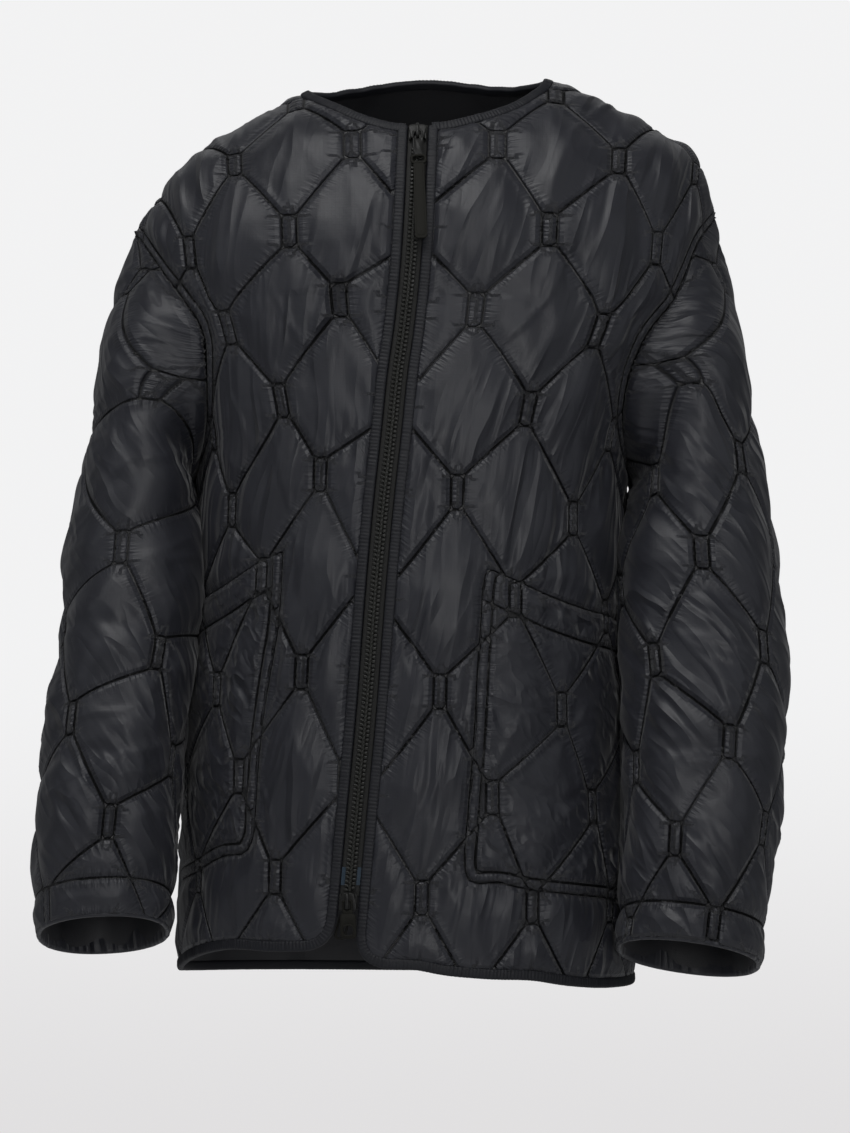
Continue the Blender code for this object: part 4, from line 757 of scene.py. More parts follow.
def nylonFinish(name, look, puckers=True):
    # shell cloth: fine square rip-stop threads, soft mottled sheen, puckers that run square off each stitch line, and
    # painted shade that darkens the colour at each stitch line
    g = Graph(name, **{"Base Color": look["dark"], "Sheen Weight": 0.10, "Sheen Roughness": 0.45,
                       "Specular IOR Level": 0.5})
    place = g.node("ShaderNodeTexCoord", {}, {}, 3)
    cloth = g.node("ShaderNodeUVMap", {"uv_map": "cloth"})
    parts = g.node("ShaderNodeSeparateXYZ", {}, {0: cloth})
    u, v = parts, Wire(g, parts.socket.node.outputs[1])
    cell = look["ripstop"] / 1000
    across = (u / cell).math("FRACT").math("PINGPONG", 0.5)
    down = (v / cell).math("FRACT").math("PINGPONG", 0.5)
    thread = 1 - (across.math("MINIMUM", down) / 0.13).clamped()
    mottled = g.noise(place, 38.0, 3.0)
    fine = g.noise(place, 900.0, 2.0)
    colour = g.mix((mottled * 1.1 + fine * 0.4 - 0.35).clamped(), look["dark"], look["light"])
    bump = g.bump(thread, 0.00002)
    bump = g.bump(g.noise(place, 150.0, 3.0, 0.55), 0.00016, bump)
    if puckers:
        # long soft folds: a ridged noise stretched along the cloth, turned a little and faded out at the stitch lines
        c, s = math.cos(math.radians(look["foldTurn"])), math.sin(math.radians(look["foldTurn"]))
        bend = g.noise(place, 9.0, 1.0) * 0.9
        long = g.noise(vectorOf(g, (u * c + v * s) / (look["foldAcross"] / 1000) + bend,
                                (v * c - u * s) / (look["foldAlong"] / 1000)), 1.0, 1.4, 0.45)
        ridge = 1 - ((long - 0.5).math("ABSOLUTE") * 7.0).clamped()
        share = (g.field("seamDistance") / 5.0 + 0.15).clamped() * (g.noise(place, 11.0, 1.0) * 2.6 - 0.75).clamped()
        bump = g.bump((ridge * 0.35 + long) * share, look["foldDepth"], bump)
        # puckers swell from the stitch line and die away from it; the groove is a narrow V in the bump, and its bottom
        # is painted shade: the colour goes near black right at the stitch line
        dist, along = g.field("seamDistance"), g.field("seamAlong")
        fade = (1 - dist / 13.0).clamped() ** 2.0 * (dist / 1.6).clamped()
        ribs = g.noise(vectorOf(g, along / look["puckerPitch"], dist / 16.0), 1.0, 1.5)
        bump = g.bump(ribs * (fade + g.field("gathered") * 0.5), look["puckerDepth"], bump)
        grooveAndShade = (dist / look["grooveAndShade"]).clamped()
        bump = g.bump(grooveAndShade, 0.0009, bump)
        # painted shade: the colour falls to a near-black shade colour at the stitch line, the crease's shadow painted
        # in
        colour = g.mix(grooveAndShade ** 0.8, look["seam"], colour)
    return g.put(Base_Color=colour, Roughness=mottled * 0.16 + look["roughness"] - 0.05 + thread * 0.04, Normal=bump)


print("finishes")
nylon = nylonFinish("blackNylonShell", nylonLook)
sleeveNylon = nylonFinish("blackNylonSleeve", {**nylonLook, "foldAcross": 19.0, "foldAlong": 75.0, "foldTurn": 38.0})
pocketNylon = nylonFinish("blackNylonPocket", {**nylonLook, "foldAcross": 15.0, "foldAlong": 26.0, "foldTurn": 30.0})
liningCloth = nylonFinish("blackLining", {**nylonLook, "roughness": 0.5, "dark": (0.006, 0.006, 0.008),
                                          "light": (0.010, 0.010, 0.013)}, False)


def plainFinish(name, colour, roughness, grain, depth, **more):
    # colour and gloss vary with a fine noise, whose height also roughens the surface
    g = Graph(name, **{"Base Color": colour, **more})
    place = g.node("ShaderNodeTexCoord", {}, {}, 3)
    n = g.noise(place, grain, 3.0, 0.6)
    light = tuple(c * 1.7 for c in colour)
    return g.put(Base_Color=g.mix((n * 1.4 - 0.2).clamped(), colour, light), Roughness=n * 0.2 + roughness - 0.1,
                 Normal=g.bump(n, depth))


bindingCloth = plainFinish("blackBinding", (0.0052, 0.0056, 0.0080), 0.58, 520.0, 0.00025,
                           **{"Specular IOR Level": 0.34})
threadFinish = plainFinish("blackThread", (0.006, 0.006, 0.0075), 0.55, 2500.0, 0.00005)
tapeCloth = plainFinish("zipTapeWeave", (0.0048, 0.0048, 0.0043), 0.78, 1400.0, 0.0002)
tapeFilm = plainFinish("bluishTapeFilm", (0.010, 0.021, 0.034), 0.40, 300.0, 0.00003)
toothPlastic = plainFinish("zipToothPlastic", (0.0068, 0.0070, 0.0056), 0.44, 260.0, 0.00004,
                           **{"Specular IOR Level": 0.32})
blackMetal = plainFinish("blackPaintedMetal", (0.0062, 0.0062, 0.0058), 0.46, 400.0, 0.00003,
                         **{"Specular IOR Level": 0.3})
pullRubber = plainFinish("pullRubber", (0.0062, 0.0060, 0.0045), 0.66, 700.0, 0.00006, **{"Specular IOR Level": 0.16})

# ---- quilted shells
# slack is the extra cloth (across, along) at the piece's top and at its bottom; folds are seeded by soft noise of
# (weight in mm, size across, size along, angle), ridges the same; creases are the main folds: chart points, depth in
# mm, half width
shells = {
    "frontRight": {
        "node": "front_right", "seed": 3, "slackTop": (0.046, 0.012), "slackLow": (0.040, 0.020),
        "folds": [(0.75, 7, 34, 10), (0.45, 4.5, 18, -12)], "ridges": (1.5, 8, 40, 14), "creases": [
            ([(-135, -84), (-146, -141), (-156, -181), (-182, -228), (-240, -275)], 3.6, 8),
            ([(-124, -102), (-133, -151), (-151, -205)], -1.4, 8),
            ([(-126, -389), (-145, -452), (-148, -516)], 1.2, 7)]},
    "frontLeft": {
        "node": "front_left", "seed": 5, "slackTop": (0.046, 0.012), "slackLow": (0.040, 0.020),
        "folds": [(0.75, 7, 34, -10), (0.45, 4.5, 18, 12)], "ridges": (1.5, 8, 40, -14), "creases": [
            ([(140, -103), (139, -141), (140, -182), (162, -222), (225, -270)], 3.6, 8),
            ([(125, -113), (124, -158), (134, -210)], -1.4, 8),
            ([(230, -300), (246, -372), (240, -421)], 1.6, 8)]},
    "back": {
        "node": "back", "seed": 7, "slackTop": (0.044, 0.015), "slackLow": (0.040, 0.022),
        "folds": [(0.7, 7, 32, 5), (0.45, 4.5, 18, -14)], "ridges": (1.4, 8, 38, 6), "creases": [
            ([(150, -110), (148, -150), (160, -195), (196, -250), (236, -280)], 3.4, 8),
            ([(-146, -100), (-150, -160), (-168, -215), (-222, -272)], 3.1, 9),
            ([(-40, -60), (-52, -150), (-60, -260)], 1.3, 9),
            ([(66, -90), (60, -190), (72, -300)], 1.1, 8),
            ([(-150, -470), (-120, -530), (-130, -610)], 1.3, 8),
            ([(120, -430), (150, -520), (140, -590)], 1.2, 7)]},
    "sleeveRight": {
        "node": "sleeve_right", "seed": 11, "slackTop": (0.034, 0.016), "slackLow": (0.020, 0.038),
        "folds": [(0.8, 16, 8, 24), (0.45, 5, 16, -18)], "ridges": (1.5, 26, 7, 20), "creases": [
            ([(71, 523), (101, 475), (124, 420), (152, 383)], 3.0, 7),
            ([(14, 242), (100, 233), (151, 221)], 2.2, 7),
            ([(35, 127), (99, 129), (151, 112)], 1.8, 6),
            ([(73, 337), (110, 357), (143, 370)], 1.5, 6),
            ([(-150, 300), (-90, 290), (-30, 262)], 2.0, 7),
            ([(-170, 180), (-110, 196), (-40, 190)], 1.6, 7),
            ([(-120, 520), (-132, 440), (-160, 380)], 2.6, 8)]},
    "sleeveLeft": {
        "node": "sleeve_left", "seed": 13, "slackTop": (0.034, 0.016), "slackLow": (0.020, 0.038),
        "folds": [(0.8, 16, 8, -24), (0.45, 5, 16, 18)], "ridges": (1.5, 26, 7, -20), "creases": [
            ([(-52, 578), (-90, 525), (-117, 457), (-141, 406)], 3.0, 7),
            ([(-152, 271), (-113, 280), (-69, 270)], 2.2, 7),
            ([(-168, 138), (-124, 150), (-70, 140)], 1.8, 6),
            ([(-130, 353), (-103, 370), (-62, 360)], 1.5, 6),
            ([(150, 310), (96, 296), (34, 270)], 2.0, 7),
            ([(172, 176), (110, 200), (44, 186)], 1.6, 7),
            ([(118, 520), (130, 450), (156, 384)], 2.6, 8)]},
    "pocketRight": {
        "node": "pocket_right", "seed": 17, "slackTop": (0.035, 0.03), "slackLow": (0.035, 0.03),
        "folds": [(0.6, 7, 11, 20), (0.4, 4.5, 7, -30)], "ridges": (1.3, 9, 18, 16), "creases": [
            ([(-150, -430), (-156, -470), (-170, -500)], 1.2, 5),
            ([(-130, -560), (-165, -575), (-200, -560)], 1.2, 6)]},
    "pocketLeft": {
        "node": "pocket_left", "seed": 19, "slackTop": (0.035, 0.03), "slackLow": (0.035, 0.03),
        "folds": [(0.6, 7, 11, -20), (0.4, 4.5, 7, 30)], "ridges": (1.3, 9, 18, -16), "creases": [
            ([(110, -440), (118, -480), (134, -510)], 1.2, 5),
            ([(80, -560), (120, -580), (160, -566)], 1.3, 6)]},
}
# share is how much of the room up to the next surface a cell may fill
relaxSizes = {"rounds": 240, "fill": 0.022, "share": 0.46, "pocketShare": 0.5,
              "pocketLift": 1.55, "pocketEdge": 1.3, "pocketPuff": 4.4, "pocketRim": 1.0}
liningSizes = {"gridStep": (6.0, 6.4), "puff": 1.6, "reach": 26, "wave": 0.35}
threadSizes = {"pitch": 3.1, "length": 2.3, "thick": 0.55, "lift": 0.30}


def barRibs(q, bars):
    # inside a bar the cloth is gathered into three or four ribs: a cosine along v that fades toward the bar's sides
    w, h = form["barWidth"] / 2, form["barHeight"] / 2
    inBar, ribs = np.zeros(q.shape[:2], bool), np.zeros(q.shape[:2])
    for k, (u, v) in enumerate(bars):
        x, y = (q[..., 0] - u) / w, (q[..., 1] - v) / h
        hit = (abs(x) < 0.96) & (abs(y) < 0.97)
        inBar |= hit
        turns = 3.4 + 0.5 * math.sin(k * 2.4)
        ribs[hit] = (1 - x[hit] ** 2) ** 0.7 * (0.75 + 0.75 * np.cos(y[hit] * math.pi * turns + k))
    return inBar, ribs


def addCreases(q, creases):
    # a soft trough or ridge: a Gaussian across the line that swells and dies along it
    total = np.zeros(q.shape[:2])
    for points, depth, width in creases:
        line = evenPath(points, step=8.0)
        dist, _, along, _ = lineFields(q, segments(line), 4 * width)
        t = np.clip(along / max(along[dist < 2 * width].max() if (dist < 2 * width).any() else 1, 1), 0, 1)
        total -= depth * np.exp(-(dist / width) ** 2) * np.sin(math.pi * np.clip(t * 0.9 + 0.05, 0, 1)) ** 0.6
    return total


def dressShell(title, chart, loop, rows, plainLines, cloud, share, floorHeight=0.0, puff=form["puff"],
               flatUnder=None, under=None):
    # the padded outside of one piece: how high each point wants to lie, how high it may, then the slack cloth
    look = shells[title]
    loop = loop if areaSign(loop) > 0 else loop[::-1]
    quilt, bars = quiltPattern(rows, loop, 6 if "sleeve" in title else 9)
    lines = quilt + plainLines
    g = clothGrid(chart, loop, lines)
    d = g["dist"]
    shape = d.shape
    # a cell rises as 1 - (1 - distance / reach) squared, with a small roll right beside each stitch line
    rise = puff * (1 - (1 - np.clip(d / form["puffReach"], 0, 1)) ** 2)
    rise += 1.1 * np.clip(d / 2.2, 0, 1) * (d < 6) * (1 - np.clip(d / 6, 0, 1))
    near = coarseRoom(g["base"], cloud)
    ceiling = np.maximum(share * near, 0.35)
    if under is not None:
        ceiling = np.minimum(ceiling, np.maximum(coarseRoom(g["base"], under) - 1.0, 0.25))
    inBar, ribs = barRibs(g["q"], bars)
    high = np.clip((g["q"][..., 1] - loop[:, 1].min()) / np.ptp(loop[:, 1]), 0, 1)
    high = high * high * (3 - 2 * high)
    slack = [look["slackLow"][n] * (1 - high) + look["slackTop"][n] * high for n in (0, 1)]
    waves = sum(weight * softNoise(shape, (across, along), look["seed"] + 40 * n, angle)
                for n, (weight, across, along, angle) in enumerate(look["folds"]))
    # thin ridges follow the zero lines of a second noise, strong only in patches
    weight, across, along, angle = look["ridges"]
    thin = softNoise(shape, (across, along), look["seed"] + 7, angle)
    patch = softNoise(shape, (14, 18), look["seed"] + 9)
    waves = waves + weight * (np.exp(-(thin / 0.34) ** 2) - 0.25) * np.clip(patch * 0.6 + 0.5, 0, 1.2)
    rise = rise + addCreases(g["q"], look["creases"]) + waves * 0.8 * np.clip(d / 8, 0, 1)
    start = rise + waves * 0.2 * np.clip(d / 8, 0, 1)
    start = np.where(inBar, 0.5 + ribs, start)
    rise = np.where(inBar, 0.5 + ribs, rise)
    lift = np.full(shape, float(floorHeight))
    if floorHeight:
        lift = np.where(g["onEdge"], relaxSizes["pocketEdge"], lift)
        rise, start = rise + lift, start + lift
        ceiling = np.maximum(ceiling, lift + 0.3)
    if flatUnder is not None:
        below = insideLoop(g["q"].reshape(-1, 2), flatUnder).reshape(shape)
        rise, start = np.where(below, rise * 0.3, rise), np.where(below, rise * 0.3, start)
        slack = [np.where(below, 0.0, s) for s in slack]
        ceiling = np.where(below, np.minimum(ceiling, 1.2), ceiling)
    start, rise = np.clip(start, lift, ceiling), np.clip(rise, lift, ceiling)
    fill = np.where(inBar, 0.5, relaxSizes["fill"])
    pos = relax(g, start, rise, lift, ceiling, slack, relaxSizes["rounds"], fill.astype(np.float32))
    g.update(pos=pos, lines=lines, quilt=quilt, loop=loop, inBar=inBar.astype(float))
    return g


def shellMesh(title, g, drop=None):
    fields = np.stack([np.minimum(g["lineDist"], g["edgeDist"]), g["along"], g["inBar"]], -1)
    tris, points, uv, extra, normal = compact(g["tris"], g["pos"], g["q"], fields, g["normal"])
    if drop:
        points, tris, used = wallDown(points, tris, -normal * drop)
        uv, extra = np.concatenate([uv, uv[used]]), np.concatenate([extra, extra[used]])
    finish = sleeveNylon if "sleeve" in title else pocketNylon if "pocket" in title else nylon
    return addMesh(title + "Shell", points, tris, finish, maps={"cloth": uv / 1000},
                   fields={"seamDistance": extra[:, 0], "seamAlong": extra[:, 1], "gathered": extra[:, 2]})


def liningMesh(title, chart, loop, lines):
    # inside face of the same piece: the form less its wall, each cell a little full, facing the wearer
    g = clothGrid(chart, loop, lines, liningSizes["gridStep"])
    full = liningSizes["puff"] * (1 - (1 - np.clip(g["dist"] / liningSizes["reach"], 0, 1)) ** 2)
    full += liningSizes["wave"] * softNoise(full.shape, (2.5, 9), 77, 6) * np.clip(g["dist"] / 9, 0, 1)
    pos = g["base"] - g["normal"] * (form["wall"] + 0.1 + np.maximum(full, 0))[..., None]
    tris, points, uv = compact(g["tris"], pos, g["q"])
    return addMesh(title + "Lining", points, tris[:, ::-1], liningCloth, maps={"cloth": uv / 1000})


def threadMesh(title, chart, pairs, height=0.0):
    # a stitch every pitch along each line: a thin three-sided spindle lying in the crease
    starts, ends = np.array([p[0] for p in pairs], float), np.array([p[1] for p in pairs], float)
    length = np.linalg.norm(ends - starts, axis=1)
    count = np.maximum(1, (length / threadSizes["pitch"]).astype(int))
    which = np.repeat(np.arange(len(count)), count)
    order = np.arange(len(which)) - np.repeat(np.cumsum(count) - count, count)
    t = ((order + 0.5) / count[which])[:, None]
    q = starts[which] * (1 - t) + ends[which] * t
    d = (ends - starts)[which] / np.maximum(length[which], 1e-6)[:, None]
    ahead = unit(chart.at(q + d) - chart.at(q - d))
    out = chart.normal(q)
    aside = unit(np.cross(out, ahead))
    out = np.cross(ahead, aside)
    centre = chart.at(q) + out * (threadSizes["lift"] + height)
    r, half = threadSizes["thick"] / 2, threadSizes["length"] / 2
    ring = [(r * math.cos(a), r * math.sin(a)) for a in (math.pi / 2, math.pi * 7 / 6, math.pi * 11 / 6)]
    shape = np.array([(-half, 0, 0)] + [(-0.55 * half, x, y) for x, y in ring]
                     + [(0.55 * half, x, y) for x, y in ring] + [(half, 0, 0)])
    faces = np.array([(0, 2, 1), (0, 3, 2), (0, 1, 3), (1, 2, 5), (1, 5, 4), (2, 3, 6), (2, 6, 5), (3, 1, 4),
                      (3, 4, 6), (7, 4, 5), (7, 5, 6), (7, 6, 4)])
    verts, faces = stamped(shape, faces, (centre, ahead, aside, out))
    return addMesh(title + "Stitches", verts, faces, threadFinish)


def flatArea(g):
    # area of the cut piece, from its triangles on the unpuffed form, in square metres
    p = g["base"].reshape(-1, 3)[g["tris"]]
    return float(np.linalg.norm(np.cross(p[:, 1] - p[:, 0], p[:, 2] - p[:, 0]), axis=1).sum() / 2e6)


clouds = {side: sleeves[side].points[::2, ::2].reshape(-1, 3).astype(np.float32) for side in sleeves}
torsoCloud = np.concatenate([c.points[::3, ::3].reshape(-1, 3) for c in (front, back)]).astype(np.float32)
bothSleeves = np.concatenate(list(clouds.values()))
pockets = {side: pocketShape(side) for side in ("right", "left")}


def finishShell(title, chart, g, drop=form["wall"], threadHeight=0.0, lining=True, more=()):
    # shell, sewing and lining of one piece, what they ride on and replace, and the flat size of the cut
    shell = shellMesh(title, g, drop)
    extra = [threadMesh(title, chart, g["lines"], threadHeight)]
    if lining:
        extra.append(liningMesh(title, chart, g["loop"], g["quilt"]))
    extra += list(more)
    for piece in [shell] + extra:
        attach(piece, "jacket")
    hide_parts(shells[title]["node"])
    area = flatArea(g)
    height = np.ptp(g["base"].reshape(-1, 3)[np.unique(g["tris"])], axis=0)[2] / 1000
    print(f"{title}: {len(g['tris'])} triangles, {area:.3f} square metres")


for side in ("right", "left"):
    title = "front" + side.capitalize()
    loop = frontLoop(side)
    welt = shifted(front, holeLines[side, "front"], inward[side, "front"] * form["welt"])[1:-1]
    welt = welt[insideLoop(welt, loop)]
    pocketLoop = pockets[side][0]
    plain = segments(welt[::2]) + segments(pocketLoop[::2], True)
    g = dressShell(title, front, loop, quilts[title], plain, bothSleeves, relaxSizes["share"], flatUnder=pocketLoop)
    finishShell(title, front, g)

title = "back"
loop = backLoop()
welts = []
for side in ("right", "left"):
    welt = shifted(back, holeLines[side, "back"], inward[side, "back"] * form["welt"])[1:-1]
    welts += segments(welt[insideLoop(welt, loop)][::2])
g = dressShell(title, back, loop, quilts[title], welts, bothSleeves, relaxSizes["share"])
finishShell(title, back, g)

pocketTops = []
for side in ("right", "left"):
    title = "pocket" + side.capitalize()
    loop, band, border = pockets[side]
    g = dressShell(title, front, loop, quilts["front" + side.capitalize()], segments(band[::2]) + segments(border[::2]),
                   clouds[side], relaxSizes["pocketShare"], relaxSizes["pocketLift"], relaxSizes["pocketPuff"])
    finishShell(title, front, g, drop=relaxSizes["pocketRim"], threadHeight=relaxSizes["pocketLift"], lining=False)
    pocketTops.append(g["pos"][g["active"]][::9])
pocketTops = np.concatenate(pocketTops).astype(np.float32)


def cuffTurn(side, chart):
    # the sleeve's turned end: a strip round the cuff whose section goes over the edge and up inside
    u = np.linspace(-2, 2, 361) * form["sleeveQuarter"]
    section = np.array([(2.6, 0.25), (0.8, 0.55), (-0.5, 0.35), (-1.3, -0.6), (-1.4, -1.9), (-0.6, -2.9), (1.5, -3.3),
                        (8.0, -3.4), (18.0, -3.3), (27.5, -3.2), (28.4, -2.7)])
    wave = 0.35 * np.interp(np.linspace(0, 97, len(u)), np.arange(98), np.random.default_rng(5).standard_normal(98))
    q = np.stack([np.broadcast_to(u[:, None], (len(u), len(section))),
                  np.broadcast_to(np.maximum(section[:, 0], 0)[None], (len(u), len(section)))], -1)
    base = chart.at(q.reshape(-1, 2)).reshape(*q.shape[:2], 3)
    n = chart.normal(q.reshape(-1, 2)).reshape(base.shape)
    down = unit(chart.at(np.column_stack([u, np.zeros(len(u))])) - chart.at(np.column_stack([u, np.full(len(u), 6.0)])))
    p = base + n * (section[None, :, 1] + wave[:, None] * (section[None, :, 0] < 6) * 0.5)[..., None]
    p += down[:, None] * np.maximum(-section[:, 0], 0)[None, :, None]
    along = q[..., 0].ravel()
    return addMesh("cuffTurn" + side.capitalize(), p.reshape(-1, 3), gridFaces(*p.shape[:2], wrapCols=False), nylon,
                   maps={"cloth": q.reshape(-1, 2) / 1000},
                   fields={"seamDistance": np.full(along.size, 20.0), "seamAlong": along, "gathered": 0 * along})


def onChart(chart, q):
    return chart.at(q), chart.normal(q)


def turnedSeam(name, side):
    # the armhole seam's turned edges: a flat strip just under both pieces, all round the hole
    (ahead, outAhead), (behind, outBehind) = (
        onChart(halves[part], seamPoints(halves[part], armholes[side, part], 3.0)) for part in ("front", "back"))
    points = np.concatenate([ahead, behind[::-1][1:-1]])
    normals = np.concatenate([outAhead, outBehind[::-1][1:-1]])
    for _ in range(6):
        normals = unit(np.roll(normals, 1, 0) + normals * 2 + np.roll(normals, -1, 0))
    t = unit(np.roll(points, -1, 0) - np.roll(points, 1, 0))
    across = unit(np.cross(t, normals))
    section = np.array([(-4.5, -0.9), (4.5, -0.9), (4.5, -2.3), (-4.5, -2.3)])
    verts = points[:, None] + across[:, None] * section[None, :, :1] + normals[:, None] * section[None, :, 1:]
    faces = gridFaces(len(points), 4, wrapRows=True)[:, [0, 3, 2, 1]]
    return addMesh(name, verts.reshape(-1, 3), faces, threadFinish)


for side in ("right", "left"):
    title = "sleeve" + side.capitalize()
    chart, limit = sleeves[side], 2 * form["sleeveQuarter"]
    ring = np.linspace(-limit, limit, 221)
    topLine = np.column_stack([ring, chart.top(ring)])
    hem = np.column_stack([np.linspace(-limit, limit, 109), np.zeros(109)])
    rightUp = np.column_stack([np.full(60, limit), np.linspace(0, chart.top(limit), 60)])
    leftUp = np.column_stack([np.full(60, -limit), np.linspace(0, chart.top(-limit), 60)])
    loop = joined(hem, rightUp, topLine[::-1], leftUp[::-1])
    band = np.column_stack([np.linspace(-limit + 3, limit - 3, 60), np.full(60, form["cuffHem"])])
    g = dressShell(title, chart, loop, quilts[title], segments(band), torsoCloud, relaxSizes["share"],
                   under=pocketTops)
    turned = (cuffTurn(side, chart), turnedSeam("armholeSeam" + side.capitalize(), side))
    finishShell(title, chart, g, more=turned)


# ---- bindings
def swept(points, normals, sections):
    # a closed section (sideways, outward) of its own at each point of a path; sideways is to the right of travel
    t = unit(np.gradient(points, axis=0))
    side = unit(np.cross(t, normals))
    out = np.cross(side, t)
    verts = points[:, None] + side[:, None] * sections[..., :1] + out[:, None] * sections[..., 1:]
    rows, cols = sections.shape[:2]
    faces = gridFaces(rows, cols).tolist()
    turn = areaSign(sections[0])
    faces = faces if turn > 0 else [f[::-1] for f in faces]
    ends = [list(range(cols))[::-1], list(range((rows - 1) * cols, rows * cols))]
    return verts.reshape(-1, 3), faces + (ends if turn > 0 else [f[::-1] for f in ends])


def puckeredBinding(name, pieces, seed, node):
    # folded tape over the raw edge: a flat rounded section whose outer face rises and falls in small uneven puckers
    sizes = bindingSizes
    points = np.concatenate([p[0] for p in pieces])
    normals = np.concatenate([p[1] for p in pieces])
    far = lengthsAlong(points)
    keep = np.concatenate([[True], np.diff(far) > 0.05])
    points, normals, far = points[keep], normals[keep], far[keep]
    s = np.arange(0, far[-1], sizes["step"] * (1))
    points = np.stack([np.interp(s, far, points[:, i]) for i in range(3)], 1)
    normals = np.stack([np.interp(s, far, normals[:, i]) for i in range(3)], 1)
    blur = np.hanning(25) / np.hanning(25).sum()
    smooth = lambda a: np.stack([np.convolve(np.pad(a[:, i], 12, mode="edge"), blur, "valid") for i in range(3)], 1)
    points, normals = smooth(points), unit(smooth(normals))
    rng = np.random.default_rng(seed)
    knots = np.arange(0, s[-1] + 9, 9.0)
    drift = np.interp(s, knots, rng.uniform(-0.9, 0.9, len(knots)))
    size = np.interp(s, knots, rng.uniform(0.45, 1.25, len(knots)))
    wave = np.sin(2 * math.pi * s / sizes["puckerPitch"] + drift * 2) * size * sizes["pucker"]
    knots = np.arange(0, s[-1] + 3, 3.0)
    wave += np.interp(s, knots, rng.normal(0, 0.13, len(knots)))
    a = np.linspace(0, 2 * math.pi, 18, endpoint=False)
    b, high, low = sizes["width"] / 2, sizes["rise"] + 0.15, -form["wall"] - 1.2
    x = np.sign(np.cos(a)) * abs(np.cos(a)) ** 0.45 * b
    y = (high + low) / 2 + np.sign(np.sin(a)) * abs(np.sin(a)) ** 0.62 * (high - low) / 2
    lifted = np.clip(np.sin(a), 0, 1) ** 0.7
    sections = np.stack([np.broadcast_to(x, (len(s), 18)) + wave[:, None] * 0.25 * np.sign(x) * abs(x / b) ** 3,
                         y + wave[:, None] * lifted], -1)
    verts, faces = swept(points, normals, sections)
    obj = addMesh(name, verts, faces, bindingCloth)
    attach(obj, "jacket")
    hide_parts(node)
    print(f"{name}: {len(faces)} faces")


half = bindingSizes["width"] / 2
edges = (onChart(front, shifted(front, edgeLines["right"], -half)),
         onChart(back, shifted(back, backHem, -half)[2:-2]),
         onChart(front, shifted(front, edgeLines["left"], half)[::-1]))
puckeredBinding("edgeBinding", edges, 21, "edge_binding")
neck = (onChart(front, shifted(front, neckLines["right"], -half)[::-1][:-2]),
        onChart(back, shifted(back, backNeck, half)),
        onChart(front, shifted(front, neckLines["left"], -half)[::-1][2:]))
puckeredBinding("neckBinding", neck, 23, "neck_binding")
for side, sign in (("right", -1), ("left", 1)):
    inner = shifted(front, edgeLines[side], sign * (bindingSizes["width"] - 1.3))
    obj = threadMesh("edge" + side.capitalize(), front, segments(inner[::2]), 1.05)
    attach(obj, "jacket")


# ---- zip
def tapeStrip(side, sign):
    # a flat woven tape beside the zip's centre, its top face ribbed by a sine along it
    v = np.linspace(zipSizes["top"], zipSizes["end"], 400)
    half = (zipSizes["tapeHalf"] - 0.7) / 2
    q = zipEdge(v, sign * (0.35 + half))
    rib = 0.10 * np.sin(np.arange(400) * 2.1)
    x = np.array([-half, -half + 0.5, 0, half - 0.5, half, half, -half])
    y = np.array([-0.9, -0.5, -0.45, -0.5, -0.9, -1.7, -1.7])
    sections = np.stack([np.broadcast_to(x, (400, 7)), y + rib[:, None] * (y > -1.5)], -1)
    verts, faces = swept(front.at(q), front.normal(q), sections)
    obj = addMesh("zipTape" + side.capitalize(), verts, faces, tapeCloth)
    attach(obj, "jacket")
    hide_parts("zip_tape_" + side)


def placesOn(q):
    # origin, right, up and out for small parts on the front's chart
    origin, out = front.at(q), front.normal(q)
    up = front.at(q + (0, 3)) - front.at(q - (0, 3))
    up = unit(up - out * (up * out).sum(1)[:, None])
    return origin, np.cross(up, out), up, out


def toothShape():
    # moulded tooth: an octagonal section that narrows at the neck and swells into the head that locks past the middle
    x = np.array([4.4, 3.9, 2.2, 1.3, 0.2, -0.9, -1.5])
    half = np.array([0.7, 1.15, 1.15, 0.8, 1.3, 1.25, 0.6])
    top = np.array([1.0, 1.75, 1.9, 1.6, 2.35, 2.2, 1.3])
    a = np.linspace(0, 2 * math.pi, 8, endpoint=False) + math.pi / 8
    y = np.sign(np.cos(a)) * abs(np.cos(a)) ** 0.6
    z = np.sign(np.sin(a)) * abs(np.sin(a)) ** 0.6
    shape = np.stack([np.broadcast_to(x[:, None], (7, 8)), half[:, None] * y[None],
                      0.55 + (top[:, None] - 0.2) * 0.5 * (z[None] + 0.55)], -1).reshape(-1, 3)
    quads = gridFaces(7, 8)
    caps = np.array([(0, 1, 2, 3), (0, 3, 4, 7), (4, 5, 6, 7)])
    return shape, np.concatenate([quads, caps[:, ::-1], caps + 48])


# small pieces of bluish film stiffen both tapes above the pin
for side, sign in (("Right", -1), ("Left", 1)):
    q = zipEdge(np.linspace(zipSizes["filmTop"], zipSizes["filmEnd"], 12), sign * zipSizes["filmMiddle"])
    flat = np.broadcast_to(np.array([(-1.5, -0.42), (1.5, -0.42), (1.5, -0.25), (-1.5, -0.25)]), (12, 4, 2))
    verts, film = swept(*onChart(front, q), flat)
    obj = addMesh("tapeFilm" + side, verts, film, tapeFilm, smooth=False)
    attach(obj, "jacket")
# each row of teeth lies half a pitch below the other and locks past the middle
shape, faces = toothShape()
rows = []
for sign, offset in ((1, 0.0), (-1, 0.5)):
    v = np.arange(zipSizes["teethTop"], zipSizes["teethEnd"], -zipSizes["pitch"]) - offset * zipSizes["pitch"]
    rows.append(stamped(shape * (sign, 1, 1), faces if sign < 0 else faces[:, ::-1], placesOn(zipEdge(v, 0.0))))
teeth = addMesh("zipTeeth", np.concatenate([row[0] for row in rows]),
                np.concatenate([rows[0][1], rows[1][1] + len(rows[0][0])]), toothPlastic, smooth=False)
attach(teeth, "jacket")
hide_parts("zip_teeth")
tapeStrip("right", -1)
tapeStrip("left", 1)


